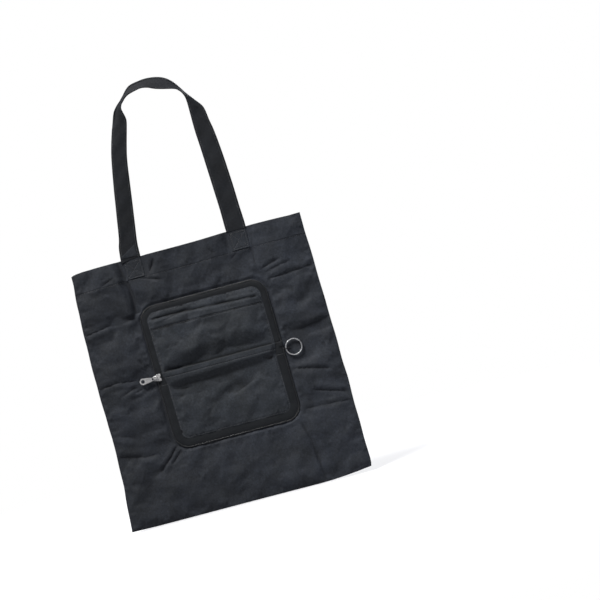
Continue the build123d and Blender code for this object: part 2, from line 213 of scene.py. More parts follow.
BACK = [
    ([(-190, 221), (-140, 222.5), (-102, 221)], 0.7, 3.0, "V", 0.1),
    ([(111, 221), (150, 219.5), (190, 222)], 0.7, 3.0, "V", 0.1),
    ([(-190, 337), (-145, 339), (-104, 338)], 0.7, 2.6, "V", 0.1),
    ([(111, 338), (150, 336.5), (190, 339)], 0.7, 2.6, "V", 0.1),
    ([(-190, 104), (-140, 102.5), (-104, 104)], 0.7, 2.6, "V", 0.1),
    ([(111, 104), (150, 105.5), (190, 103.5)], 0.7, 2.6, "V", 0.1),
    ([(-70, 300), (-30, 286), (10, 270)], 0.6, 3.0, "V", 0.35),
    ([(40, 150), (70, 170), (96, 182)], 0.6, 3.0, "V", 0.35),
    ([(-90, 330), (-74, 316), (-60, 308)], 0.7, 2.2, "V", 0.35),
    ([(100, 330), (84, 318), (72, 312)], 0.7, 2.2, "V", 0.35),
    ([(-90, 112), (-70, 128), (-58, 134)], 0.7, 2.2, "V", 0.35),
    ([(100, 112), (86, 124), (70, 132)], 0.7, 2.2, "V", 0.35),
    ([(-150, 300), (-132, 270), (-126, 240)], 0.7, 6.0, "G", 0.35),
    ([(150, 170), (140, 150), (146, 124)], 0.7, 6.0, "G", 0.35),
    ([(-60, 404), (-40, 390), (-22, 384)], 0.8, 2.3, "V", 0.35),
    ([(60, 402), (44, 388), (30, 380)], 0.8, 2.3, "V", 0.35),
]


def crease_depth(X, Z, lines, k=1.0):
    shape = np.shape(X)
    X, Z = np.ravel(X), np.ravel(Z)
    out = np.zeros(X.shape)
    for pts, dep, wid, kind, fade in lines:
        q = np.array(pts, float)
        m = 6.0 * wid
        near = np.nonzero((X > q[:, 0].min() - m) & (X < q[:, 0].max() + m) & (Z > q[:, 1].min() - m) & (Z < q[:, 1].max() + m))[0]
        if len(near) == 0:
            continue
        x_, z_ = X[near], Z[near]
        d, side, t = polydist(x_, z_, pts)
        ends = sstep(0, fade, t) * sstep(0, fade, 1 - t) if fade else 1.0
        wob = 1 + 0.25 * noise(W_SML, x_ * 0.6 + dep * 50, z_ * 0.6)
        if kind == "V":
            f = np.exp(-np.power(d / (wid * wob), 0.9)) - 0.20 * np.exp(-((d - 2.6 * wid) / (1.4 * wid)) ** 2)
        elif kind == "S":
            f = np.where(side > 0, np.exp(-((d / 1.3) ** 2)), np.exp(-((d / (wid * wob)) ** 2)) - 0.75 * np.exp(-((d - 1.75 * wid) / (0.9 * wid)) ** 2))
        else:
            f = np.exp(-((d / (wid * wob)) ** 2))
        out[near] += k * dep * f * ends
    return out.reshape(shape)


# ------------------------------------------------------- the two bag sheets
def pouch_d(X, Z):
    """Signed distance to the line of the zip teeth, negative inside."""
    cx, cz = PX, MID
    hx, hz = (PX1 - PX0) / 2 - PR, (ZT - ZB) / 2 - PR
    qx, qz = np.abs(X - cx) - hx, np.abs(Z - cz) - hz
    return np.hypot(np.maximum(qx, 0), np.maximum(qz, 0)) + np.minimum(np.maximum(qx, qz), 0) - PR


def rect_d(X, Z, x0, x1, z0, z1):
    return np.hypot(np.maximum(np.maximum(x0 - X, X - x1), 0), np.maximum(np.maximum(z0 - Z, Z - z1), 0))


def cloth_relief(x0, x1, z0, z1, step, pin, grow, push, stiff=12.0, bend=0.3, frames=20, seed=1, mass=0.12):
    """Cloth simulation of one flat sheet, pinned along its seams, a little longer
    than its outline and pressed from behind.  Returns how far each grid point
    came forward; the simulated object itself is removed."""
    nx, nz = int(round((x1 - x0) / step)) + 1, int(round((z1 - z0) / step)) + 1
    gx, gz = np.meshgrid(np.linspace(x0, x1, nx), np.linspace(z0, z1, nz))
    gy = np.random.default_rng(seed).normal(0, 0.05, gx.shape)
    me = bpy.data.meshes.new("sim")
    V = np.stack([gx, gy, gz], -1).reshape(-1, 3) / 1000.0
    me.from_pydata(V.tolist(), [], grid_faces(nz, nx))
    me.update()
    ob = bpy.data.objects.new("sim", me)
    bpy.context.scene.collection.objects.link(ob)
    w = pin(gx, gz).ravel()
    vg = ob.vertex_groups.new(name="pin")
    for k in np.nonzero(w > 0.01)[0]:
        vg.add([int(k)], float(min(w[k], 1.0)), "REPLACE")
    m = ob.modifiers.new("cloth", "CLOTH")
    st = m.settings
    st.quality = 5
    st.mass = mass
    st.tension_stiffness = st.compression_stiffness = stiff
    st.shear_stiffness = 4.0
    st.bending_stiffness = bend
    st.tension_damping = st.compression_damping = st.shear_damping = 8
    st.air_damping = 4.0
    st.vertex_group_mass = "pin"
    st.shrink_min = -grow
    st.use_pressure = True
    st.uniform_pressure_force = push
    st.effector_weights.gravity = 0.0
    m.collision_settings.use_collision = False
    m.point_cache.frame_start, m.point_cache.frame_end = 1, frames
    sc = bpy.context.scene
    for f in range(1, frames + 1):
        sc.frame_set(f)
    ev = ob.evaluated_get(bpy.context.evaluated_depsgraph_get())
    co = np.zeros(len(ev.data.vertices) * 3)
    ev.data.vertices.foreach_get("co", co)
    out = -co.reshape(-1, 3)[:, 1].reshape(nz, nx) * 1000.0
    bpy.data.objects.remove(ob)
    bpy.data.meshes.remove(me)
    sc.frame_set(1)
    return Grid(out, x0, z0, step)


def soft_cap(h, cap):
    """Keeps a height below cap, smoothly."""
    return cap - np.logaddexp(0.0, (cap - h) / (0.28 * cap)) * (0.28 * cap)


class Grid:
    """Values on a coarse grid, read back with a smooth cubic."""

    def __init__(self, v, x0, z0, step):
        self.v, self.x0, self.z0, self.h = np.pad(v, 1, mode="edge"), x0 - step, z0 - step, step

    def __call__(self, X, Z):
        v = self.v
        u = np.clip((np.asarray(X, float) - self.x0) / self.h, 1, v.shape[1] - 2.001)
        w = np.clip((np.asarray(Z, float) - self.z0) / self.h, 1, v.shape[0] - 2.001)
        i, j = np.floor(u).astype(int), np.floor(w).astype(int)
        fu, fw = u - i, w - j

        def cub(a, b, c, d, t):
            return b + 0.5 * t * (c - a + t * (2 * a - 5 * b + 4 * c - d + t * (3 * (b - c) + d - a)))

        rws = [cub(v[np.clip(j + k, 0, v.shape[0] - 1), np.clip(i - 1, 0, None)], v[np.clip(j + k, 0, v.shape[0] - 1), i], v[np.clip(j + k, 0, v.shape[0] - 1), i + 1], v[np.clip(j + k, 0, v.shape[0] - 1), np.clip(i + 2, 0, v.shape[1] - 1)], fu) for k in (-1, 0, 1, 2)]
        return cub(*rws, fw)


def pin_front(X, Z):
    w = (np.minimum(HW - np.abs(X), Z) < 1).astype(float)
    w = np.maximum(w, (pouch_d(X, Z) < 3.0).astype(float))
    for cx in (HL, HR):
        w = np.maximum(w, 0.35 * (rect_d(X, Z, cx - 13, cx + 13, HEM, HT) < 1))
    w = np.maximum(w, 0.5 * (np.abs(Z - HT) < 1) * (np.abs(X) > HW - 20))
    w = np.maximum(w, 0.9 * (rect_d(X, Z, RG0[0] - 6, RG1[0] + 4, RG0[2] - 4, RG1[2] + 4) < 1))
    w = np.maximum(w, 0.9 * (rect_d(X, Z, -128, SL1[0], SL0[2] - 3, SL1[2] + 3) < 1))
    return w


def ci(Z):
    """Width of zip tape left showing around the padded cover."""
    return 14.5 + (11.0 - 14.5) * sstep(MID - SP, MID + SP, np.asarray(Z, float))


def pin_cover(X, Z):
    d = -pouch_d(X, Z) - ci(Z)
    w = (d < 1.5).astype(float)
    return w


SIM_FRONT = cloth_relief(-HW, HW, 0.0, HT, 5.0, pin_front, 0.008, 0.20, bend=3.0, seed=4)
SIM_COVER = cloth_relief(PX0, PX1, ZB, ZT, 3.25, pin_cover, 0.008, 0.35, bend=3.0, seed=9)
print("sim front", float(SIM_FRONT.v.min()), float(SIM_FRONT.v.max()), float(SIM_FRONT.v.std()))
print("sim cover", float(SIM_COVER.v.min()), float(SIM_COVER.v.max()), float(SIM_COVER.v.std()))


def base_front(X, Z):
    d_side = HW - np.abs(X)
    d_fold = np.minimum(np.abs(X - FL), np.abs(X - FR))
    d_bot = Z
    d_row = np.where((X > FL) & (X < FR), np.minimum(np.abs(Z - ZT), np.abs(Z - ZB)), 1e3)
    pd = np.maximum(pouch_d(X, Z), 0)
    # bunched around the pouch, so the tape lies in a shallow trough
    puff = soft_cap(SIM_FRONT(X, Z), 4.4) + 1.9 * sstep(0.3, 5.5, pd) * (1 - np.exp(-np.minimum(d_side, d_bot) / 9.0))
    wav = 0.9 * noise(W_BIG, X, Z) + 1.3 * crumple(X, Z, 0) + 0.10 * noise(W_SML, X, Z) + 0.03 * noise(W_FIN, X, Z)
    wav *= 1 - np.exp(-np.minimum(d_side, d_bot) / 9.0)
    wav *= sstep(0.0, 12.0, pd)
    flat = 1 - 0.75 * np.exp(-(rect_d(X, Z, HL - 14, HL + 14, HEM, HT) / 7.0) ** 2)
    flat *= 1 - 0.75 * np.exp(-(rect_d(X, Z, HR - 14, HR + 14, HEM, HT) / 7.0) ** 2)
    keep = 1 - np.exp(-(rect_d(X, Z, SL0[0], SL1[0], SL0[2], SL1[2]) / 8.0) ** 2)
    keep *= 1 - 0.8 * np.exp(-(rect_d(X, Z, RG0[0], RG1[0], RG0[2], RG1[2]) / 9.0) ** 2)
    keep *= 1 - 0.8 * np.exp(-(rect_d(X, Z, PT0[0], PT1[0], PT0[2], PT1[2]) / 9.0) ** 2)
    near_foot = np.minimum(rect_d(X, Z, HL - 14, HL + 14, HEM, HT), rect_d(X, Z, HR - 14, HR + 14, HEM, HT))
    flatc = 1 - 0.75 * np.exp(-(near_foot / 2.6) ** 2)
    h = (puff + wav * flat) * keep
    h = h - 1.75 * crease_depth(X, Z, FRONT) * keep * flatc
    # hem: a turned band with a dimple along its stitch line
    h += 0.30 * sstep(HEM - 3.2, HEM - 2.2, Z) - 0.45 * np.exp(-((Z - (HEM - 1.6)) / 1.1) ** 2)
    # low under the handles' legs, so that a handle flopped down lies on the cloth
    leg = np.exp(-(np.maximum(np.minimum(np.abs(X - HL), np.abs(X - HR + 2) ) - 16.0, 0) / 6.0) ** 2)
    cap_ = np.maximum(0.1045 * (HT - Z) - 2.0, 0.1)
    h = lerp(h, -0.45 * np.logaddexp(-h / 0.45, -cap_ / 0.45), leg)
    h = -0.35 + 0.30 * np.logaddexp(0.0, (h + 0.35) / 0.30)      # never through the back
    return -T_CLOTH - h


def base_back(X, Z):
    d_side = HW - np.abs(X)
    d_fold = np.minimum(np.abs(X - FL), np.abs(X - FR))
    d_row = np.where((X > FL) & (X < FR), np.minimum(np.abs(Z - ZT), np.abs(Z - ZB)), 1e3)
    d_mid = np.where((X > FL) & (X < FR), np.abs(Z - MID), 1e3)
    near = np.minimum.reduce([d_side * 1.2, Z * 1.2, d_row + 6.0, d_fold + 6.0, d_mid + 6.0])
    wav = 0.5 * noise(W_BIG, X + 400, Z - 300) + 1.1 * crumple(X, Z, 3) + 0.12 * noise(W_SML, X + 90, Z)
    wav *= 1 - np.exp(-near / 9.0)
    h = wav - crease_depth(X, Z, BACK)
    # pressed flat when the bag is folded small: nothing stands out far behind
    h = 0.50 - np.logaddexp(0.0, (0.50 - h) / 0.22) * 0.22
    h += 0.30 * sstep(HEM - 3.2, HEM - 2.2, Z) - 0.45 * np.exp(-((Z - (HEM - 1.6)) / 1.1) ** 2)
    return T_CLOTH + h


class Field:
    """A height function kept on a fine grid and read back smoothly."""

    def __init__(self, fn, x0, x1, z0, z1, step=0.8):
        self.x0, self.z0, self.h = x0, z0, step
        self.nx, self.nz = int((x1 - x0) / step) + 2, int((z1 - z0) / step) + 2
        gx, gz = np.meshgrid(x0 + np.arange(self.nx) * step, z0 + np.arange(self.nz) * step)
        self.v = fn(gx, gz)

    def __call__(self, X, Z):
        u = np.clip((np.asarray(X, float) - self.x0) / self.h, 0, self.nx - 1.001)
        w = np.clip((np.asarray(Z, float) - self.z0) / self.h, 0, self.nz - 1.001)
        i, j = np.floor(u).astype(int), np.floor(w).astype(int)
        fu, fw = u - i, w - j
        fu, fw = fu * fu * (3 - 2 * fu) * 0.35 + fu * 0.65, fw * fw * (3 - 2 * fw) * 0.35 + fw * 0.65
        v = self.v
        return (v[j, i] * (1 - fu) + v[j, i + 1] * fu) * (1 - fw) + (v[j + 1, i] * (1 - fu) + v[j + 1, i + 1] * fu) * fw


def edge_round(X, Z, y):
    d = np.minimum(HW - np.abs(X), Z)
    f = np.sqrt(np.clip(1 - (1 - np.clip(d / 2.6, 0, 1)) ** 2, 0, 1))
    return 0.0 + (y - 0.0) * np.maximum(f, 0.04)


F_FRONT = Field(lambda X, Z: edge_round(X, Z, base_front(X, Z)), -HW - 3, HW + 3, -3, HT + 6)


def front_y(X, Z):
    return F_FRONT(X, Z)


def raw_back(X, Z):
    y = edge_round(X, Z, base_back(X, Z))
    edge = np.minimum(HW - np.abs(X), Z)
    gap = 2 * T_CLOTH * (0.1 + 0.9 * sstep(0, 2.0, edge))
    return np.maximum(y, F_FRONT(X, Z) + gap)


F_BACK = Field(raw_back, -HW - 3, HW + 3, -3, HT + 6)


def back_y(X, Z):
    return F_BACK(X, Z)


# outline of the sewn bag: how far each side really reaches at each height
EDGE_L = ([0, 15, 30, 50, 70, 100, 150, 172, 210, 250, 310, 350, 370, 390, 405, 420],
          [-197.9, -197.1, -196, -194.3, -192.4, -191.4, -190.4, -191.5, -192.3, -193.0, -192.2, -191.0, -190.2, -188.8, -187.7, -187.6])
EDGE_R = ([0, 6, 15, 30, 50, 100, 150, 172, 210, 250, 290, 330, 370, 390, 420],
          [196.2, 197.6, 197.9, 197.8, 197.2, 196.5, 196.6, 195.6, 195.1, 194.3, 193.1, 192.3, 191.2, 190.4, 189.6])
EDGE_T = ([-190, -186, -180, -170, -150, -110, -60, 0, 30, 50, 64, 110, 130, 150, 170, 190],
          [-6.2, -4.6, -3.5, -2.7, -2.2, -1.9, -1.5, -1.5, -1.0, -0.3, 0.4, 1.5, 1.2, 0.9, 0.4, 0.9])
EDGE_B = ([-190, -150, 0, 64, 110, 130, 150, 170, 180, 190],
          [-2.8, -3.7, -3.8, -4.1, -4.4, -4.0, -2.6, -0.7, 0.7, 1.8])


def warp(X, Z):
    """The bag's outline isn't a true rectangle: sides bow and corners lift."""
    X, Z = np.asarray(X, float), np.asarray(Z, float)
    xl = np.interp(Z, *EDGE_L) + 0.25 * np.sin(Z / 9.0)
    xr = np.interp(Z, *EDGE_R) + 0.25 * np.sin(Z / 11.0 + 1)
    Xn = np.where(X < FL, FL + (X - FL) * (xl - FL) / (-HW - FL), np.where(X > FR, FR + (X - FR) * (xr - FR) / (HW - FR), X))
    top = np.interp(X, *EDGE_T)
    bot = np.interp(X, *EDGE_B)
    Zn = Z + top * sstep(HT - 80, HT, Z) + bot * sstep(70, 0, Z)
    return Xn, Zn


def dense(cuts, step, extra):
    """Grid lines from cut to cut, closer together beside the lines in extra."""
    out = []
    for a, b in zip(cuts, cuts[1:]):
        n = max(2, int(round((b - a) / step)))
        out += list(np.linspace(a, b, n + 1))
    for c in extra:
        for o in (0.35, 0.9, 1.6, 2.4, 3.4, 4.6):
            for s in (-1, 1):
                v = c + s * o
                if cuts[0] < v < cuts[-1]:
                    out.append(v)
    out = np.array(sorted(set(round(v, 4) for v in out)))
    keep = [out[0]]
    fixed = set(round(c, 4) for c in list(cuts))
    for v in out[1:]:
        if v - keep[-1] < 0.3 and round(v, 4) not in fixed:
            continue
        if v - keep[-1] < 0.3 and round(keep[-1], 4) not in fixed:
            keep[-1] = v
            continue
        keep.append(v)
    return np.array(keep)


# ----------------------------------------------------------------- meshing
def make(name, V, F, smooth=True, normals=None, attrs=None):
    me = bpy.data.meshes.new(name)
    me.from_pydata((np.asarray(V, float) / 1000.0).tolist(), [], [tuple(int(i) for i in f) for f in F])
    me.update()
    if smooth:
        me.polygons.foreach_set("use_smooth", [True] * len(me.polygons))
    if attrs:
        for k, v in attrs.items():
            a = me.attributes.new(k, "FLOAT", "POINT")
            a.data.foreach_set("value", np.asarray(v, np.float32))
    if normals is not None:
        me.normals_split_custom_set_from_vertices(np.asarray(normals, float).tolist())
    ob = bpy.data.objects.new(name, me)
    bpy.context.scene.collection.objects.link(ob)
    return ob


def merge(parts):
    V, F, n = [], [], 0
    for v, f in parts:
        V.append(np.asarray(v, float))
        F += [tuple(i + n for i in q) for q in f]
        n += len(v)
    return np.concatenate(V), F


def rim_faces(nr, nc, off0, off1, flip=False):
    loop = [(0, j) for j in range(nc)] + [(i, nc - 1) for i in range(1, nr)]
    loop += [(nr - 1, j) for j in range(nc - 2, -1, -1)] + [(i, 0) for i in range(nr - 2, 0, -1)]
    ids = [i * nc + j for i, j in loop]
    out = []
    for a, b in zip(ids, ids[1:] + ids[:1]):
        q = [off0 + b, off0 + a, off1 + a, off1 + b]
        out.append(q[::-1] if flip else q)
    return out


def slab(name, xs, zs, yo, yi, sgn, tf=None, attr=None, eps=0.35):
    """Closed cloth panel from an outer and an inner height function."""
    X, Z = np.meshgrid(xs, zs)
    tf = tf or (lambda a, b: (a, b))

    def pos(a, b, f):
        xw, zw = tf(a, b)
        return np.stack([xw, f(a, b), zw], -1)

    Po, Pi = pos(X, Z, yo), pos(X, Z, yi)
    dx = pos(X + eps, Z, yo) - pos(X - eps, Z, yo)
    dz = pos(X, Z + eps, yo) - pos(X, Z - eps, yo)
    N = np.cross(dx, dz)
    N /= np.linalg.norm(N, axis=-1, keepdims=True) + 1e-12
    N *= np.sign(sgn) * np.sign(N[..., 1:2] + 1e-9)
    nr, nc = X.shape
    V = np.concatenate([Po.reshape(-1, 3), Pi.reshape(-1, 3)])
    NN = np.concatenate([N.reshape(-1, 3), -N.reshape(-1, 3)])
    n = nr * nc
    F = grid_faces(nr, nc, 0, flip=(sgn > 0)) + grid_faces(nr, nc, n, flip=(sgn < 0))
    F += rim_faces(nr, nc, 0, n, flip=(sgn > 0))
    # valley and ridge strength, from how far the cloth stands from its mean; the cloth material uses it for painted
    # shade in valleys and a painted highlight on ridges
    r = 3.0
    y = yo(X, Z)
    m = (yo(X + r, Z) + yo(X - r, Z) + yo(X, Z + r) + yo(X, Z - r)) / 4
    cv = np.clip((y - m) * -sgn / 0.6, -1, 1).ravel()
    return make(name, V, F, True, NN, {"crease": np.concatenate([cv, cv])})


# ---------------------------------------------------------------- materials
def new_mat(name):
    m = bpy.data.materials.new(name)
    m.use_nodes = True
    nt = m.node_tree
    nt.nodes.clear()
    out = nt.nodes.new("ShaderNodeOutputMaterial")
    b = nt.nodes.new("ShaderNodeBsdfPrincipled")
    nt.links.new(b.outputs[0], out.inputs[0])
    return m, nt, b


def N_(nt, kind, **kw):
    n = nt.nodes.new(kind)
    for k, v in kw.items():
        if k in ("operation", "blend_type", "data_type", "noise_dimensions", "attribute_name", "attribute_type", "feature", "distance", "wave_type", "bands_direction", "interpolation_type", "clamp"):
            setattr(n, k, v)
        else:
            n.inputs[k].default_value = v
    return n


def mth(nt, op, a, b=None, c=None):
    n = nt.nodes.new("ShaderNodeMath")
    n.operation = op
    for i, v in enumerate((a, b, c)):
        if v is None:
            continue
        if isinstance(v, (int, float)):
            n.inputs[i].default_value = v
        else:
            nt.links.new(v, n.inputs[i])
    return n.outputs[0]


def ramp(nt, src, stops):
    r = nt.nodes.new("ShaderNodeValToRGB")
    e = r.color_ramp.elements
    while len(e) < len(stops):
        e.new(0.5)
    for el, (p, c) in zip(e, stops):
        el.position = p
        el.color = (*c, 1) if len(c) == 3 else c
    nt.links.new(src, r.inputs[0])
    return r.outputs[0]


def mixc(nt, f, a, b, mode="MIX"):
    n = nt.nodes.new("ShaderNodeMix")
    n.data_type = "RGBA"
    n.blend_type = mode
    for sock, v in ((n.inputs[0], f), (n.inputs[6], a), (n.inputs[7], b)):
        if isinstance(v, (int, float)):
            sock.default_value = v
        elif isinstance(v, tuple):
            sock.default_value = (*v, 1) if len(v) == 3 else v
        else:
            nt.links.new(v, sock)
    return n.outputs[2]


def xyz(nt):
    tc = nt.nodes.new("ShaderNodeTexCoord")
    s = nt.nodes.new("ShaderNodeSeparateXYZ")
    nt.links.new(tc.outputs["Object"], s.inputs[0])
    return tc.outputs["Object"], s.outputs[0], s.outputs[1], s.outputs[2]


def noise_n(nt, vec, scale, detail=3.0, rough=0.55):
    n = nt.nodes.new("ShaderNodeTexNoise")
    n.inputs["Scale"].default_value = scale
    n.inputs["Detail"].default_value = detail
    n.inputs["Roughness"].default_value = rough
    nt.links.new(vec, n.inputs["Vector"])
    return n.outputs["Fac"]


def cloth_mat(name, base, pitch=1.25, rough=0.74, sheen=0.06, emboss=0.8, spec=0.30, var=0.15, tint=(0.92, 0.98, 1.12), hollow=0.55):
    """Embossed non-woven cloth: a diagonal grid of pressed dots over a felt of fibres."""
    m, nt, b = new_mat(name)
    vec, x, y, z = xyz(nt)
    k = math.pi / (pitch * 0.001)
    warpn = noise_n(nt, vec, 55.0, 2.0)
    wob = mth(nt, "MULTIPLY", mth(nt, "SUBTRACT", warpn, 0.5), 0.0022)
    u = mth(nt, "MULTIPLY", mth(nt, "ADD", mth(nt, "ADD", x, z), wob), k)
    v = mth(nt, "MULTIPLY", mth(nt, "ADD", mth(nt, "SUBTRACT", x, z), wob), k)
    dots = mth(nt, "MULTIPLY", mth(nt, "SINE", u), mth(nt, "SINE", v))
    dots = mth(nt, "POWER", mth(nt, "ABSOLUTE", dots), 0.7)
    fib = noise_n(nt, vec, 1900.0, 3.0, 0.7)
    fib2 = noise_n(nt, vec, 420.0, 3.0, 0.6)
    patch = noise_n(nt, vec, 26.0, 4.0, 0.6)
    broad = noise_n(nt, vec, 7.0, 3.0, 0.5)
    at = N_(nt, "ShaderNodeAttribute", attribute_name="crease", attribute_type="GEOMETRY")
    cr = at.outputs["Fac"]
    dark = tuple(c * (1 - var) for c in base)
    lite = tuple(c * (1 + var) * t for c, t in zip(base, tint))
    col = ramp(nt, mth(nt, "ADD", mth(nt, "MULTIPLY", patch, 0.65), mth(nt, "MULTIPLY", broad, 0.35)), [(0.34, dark), (0.66, lite)])
    # pressed dots are a touch darker, loose fibres catch light
    col = mixc(nt, mth(nt, "MULTIPLY", dots, 0.20), col, tuple(c * 1.35 for c in base))
    col = mixc(nt, mth(nt, "MULTIPLY", ramp(nt, fib2, [(0.42, (0, 0, 0)), (0.78, (1, 1, 1))]), 0.30), col, tuple(c * 1.6 for c in base))
    # painted highlight: mask of where the cloth stands up in a ridge of its relief
    painted_ridge_highlight = ramp(nt, mth(nt, "ADD", mth(nt, "MULTIPLY", cr, 0.5), 0.5), [(0.0, (1, 1, 1)), (0.42, (0, 0, 0)), (0.58, (0, 0, 0)), (1.0, (0, 0, 0))])
    # painted shade: mask of where the cloth lies in a valley of its relief
    painted_valley_shade = ramp(nt, mth(nt, "ADD", mth(nt, "MULTIPLY", cr, 0.5), 0.5), [(0.0, (0, 0, 0)), (0.55, (0, 0, 0)), (0.95, (1, 1, 1)), (1.0, (1, 1, 1))])
    speck = noise_n(nt, vec, 330.0, 4.0, 0.75)
    col = mixc(nt, 0.85, col, ramp(nt, speck, [(0.30, (0.62, 0.62, 0.63)), (0.5, (0.97, 0.97, 0.97)), (0.70, (1.42, 1.44, 1.50))]), "MULTIPLY")
    # painted highlight: ridges of the relief are made lighter, as if catching light
    col = mixc(nt, mth(nt, "MULTIPLY", painted_ridge_highlight, 0.14), col, tuple(c * 1.5 for c in base))
    # painted shade: the cloth is darkened in the valleys of its relief, as if shadowed there; hollow sets how strongly
    col = mixc(nt, mth(nt, "MULTIPLY", painted_valley_shade, hollow), col, tuple(c * 0.40 for c in base))
    # painted shade and light: the cloth colour is darkened towards the left side of the bag and brightened towards the
    # right
    col = mixc(nt, 1.0, col, ramp(nt, mth(nt, "ADD", mth(nt, "MULTIPLY", x, 2.5), 0.5), [(0.0, (0.80, 0.80, 0.80)), (0.3, (0.90, 0.90, 0.90)), (0.6, (1.0, 1.0, 1.0)), (1.0, (1.12, 1.12, 1.12))]), "MULTIPLY")
    nt.links.new(col, b.inputs["Base Color"])
    rg = ramp(nt, mth(nt, "ADD", mth(nt, "MULTIPLY", fib2, 0.5), mth(nt, "MULTIPLY", dots, 0.35)), [(0.15, (rough + 0.10,) * 3), (0.75, (rough - 0.12,) * 3)])
    nt.links.new(rg, b.inputs["Roughness"])
    b.inputs["Specular IOR Level"].default_value = 0.22
    b.inputs["Sheen Weight"].default_value = sheen
    b.inputs["Sheen Roughness"].default_value = 0.45
    b.inputs["Sheen Tint"].default_value = (0.75, 0.82, 1.0, 1)
    hgt = mth(nt, "ADD", mth(nt, "MULTIPLY", dots, emboss), mth(nt, "ADD", mth(nt, "MULTIPLY", fib, 0.35), mth(nt, "MULTIPLY", fib2, 0.5)))
    bm = nt.nodes.new("ShaderNodeBump")
    bm.inputs["Strength"].default_value = 0.55
    bm.inputs["Distance"].default_value = 0.00022
    nt.links.new(hgt, bm.inputs["Height"])
    soft = nt.nodes.new("ShaderNodeBump")
    soft.inputs["Strength"].default_value = 0.3
    soft.inputs["Distance"].default_value = 0.0009
    nt.links.new(noise_n(nt, vec, 60.0, 3.0, 0.55), soft.inputs["Height"])
    nt.links.new(soft.outputs[0], bm.inputs["Normal"])
    nt.links.new(bm.outputs[0], b.inputs["Normal"])
    return m


def tape_mat(name, base, rib=0.55):
    m, nt, b = new_mat(name)
    vec, x, y, z = xyz(nt)
    fib = noise_n(nt, vec, 900.0, 3.0, 0.6)
    wv = mth(nt, "SINE", mth(nt, "MULTIPLY", mth(nt, "ADD", x, z), 2 * math.pi / 0.0009))
    wv2 = mth(nt, "SINE", mth(nt, "MULTIPLY", mth(nt, "SUBTRACT", x, z), 2 * math.pi / 0.0009))
    col = ramp(nt, fib, [(0.3, tuple(c * 0.7 for c in base)), (0.7, tuple(c * 1.4 for c in base))])
    nt.links.new(col, b.inputs["Base Color"])
    b.inputs["Roughness"].default_value = 0.66
    b.inputs["Specular IOR Level"].default_value = 0.20
    b.inputs["Sheen Weight"].default_value = 0.03
    bm = nt.nodes.new("ShaderNodeBump")
    bm.inputs["Strength"].default_value = 0.5
    bm.inputs["Distance"].default_value = 0.00015
    nt.links.new(mth(nt, "ADD", mth(nt, "MULTIPLY", mth(nt, "ADD", wv, wv2), rib * 0.4), fib), bm.inputs["Height"])
    nt.links.new(bm.outputs[0], b.inputs["Normal"])
    return m


def plastic_mat(name, base, rough=0.38):
    m, nt, b = new_mat(name)
    vec, x, y, z = xyz(nt)
    f = noise_n(nt, vec, 300.0, 3.0)
    nt.links.new(ramp(nt, f, [(0.3, tuple(c * 0.8 for c in base)), (0.7, tuple(c * 1.25 for c in base))]), b.inputs["Base Color"])
    nt.links.new(ramp(nt, f, [(0.3, (rough - 0.06,) * 3), (0.7, (rough + 0.1,) * 3)]), b.inputs["Roughness"])
    b.inputs["Specular IOR Level"].default_value = 0.45
    return m


def thread_mat(name, base):
    m, nt, b = new_mat(name)
    vec, x, y, z = xyz(nt)
    f = noise_n(nt, vec, 2400.0, 2.0)
    nt.links.new(ramp(nt, f, [(0.3, tuple(c * 0.6 for c in base)), (0.7, tuple(c * 1.5 for c in base))]), b.inputs["Base Color"])
    b.inputs["Roughness"].default_value = 0.6
    b.inputs["Sheen Weight"].default_value = 0.3
    bm = nt.nodes.new("ShaderNodeBump")
    bm.inputs["Strength"].default_value = 0.6
    bm.inputs["Distance"].default_value = 0.0001
    nt.links.new(f, bm.inputs["Height"])
    nt.links.new(bm.outputs[0], b.inputs["Normal"])
    return m


def metal_mat(name, base, rough=0.16, metallic=0.62):
    """Nickel plate with hairline scratches, dull spots and painted shade darkening its recesses."""
    m, nt, b = new_mat(name)
    vec, x, y, z = xyz(nt)
    spots = noise_n(nt, vec, 240.0, 4.0, 0.6)
    mp = nt.nodes.new("ShaderNodeMapping")
    mp.inputs["Scale"].default_value = (1.0, 1.0, 14.0)
    nt.links.new(vec, mp.inputs["Vector"])
    hair = noise_n(nt, mp.outputs[0], 700.0, 2.0, 0.7)
    ao = nt.nodes.new("ShaderNodeAmbientOcclusion")
    ao.inputs["Distance"].default_value = 0.002
    # painted shade: ambient occlusion darkens the base colour in recesses
    painted_recess_shade = ramp(nt, ao.outputs["AO"], [(0.25, (0.16, 0.15, 0.15)), (0.8, base)])
    col = mixc(nt, mth(nt, "MULTIPLY", ramp(nt, spots, [(0.5, (0, 0, 0)), (0.8, (1, 1, 1))]), 0.25), painted_recess_shade, tuple(c * 0.72 for c in base))
    nt.links.new(col, b.inputs["Base Color"])
    b.inputs["Metallic"].default_value = metallic
    nt.links.new(ramp(nt, mth(nt, "ADD", mth(nt, "MULTIPLY", spots, 0.6), mth(nt, "MULTIPLY", hair, 0.4)), [(0.3, (rough * 0.7,) * 3), (0.75, (rough * 1.9,) * 3)]), b.inputs["Roughness"])
    bm = nt.nodes.new("ShaderNodeBump")
    bm.inputs["Strength"].default_value = 0.25
    bm.inputs["Distance"].default_value = 0.00005
    nt.links.new(mth(nt, "ADD", hair, mth(nt, "MULTIPLY", spots, 0.6)), bm.inputs["Height"])
    nt.links.new(bm.outputs[0], b.inputs["Normal"])
    return m


M_TOTE = cloth_mat("tote_cloth", (0.0195, 0.0217, 0.0258))
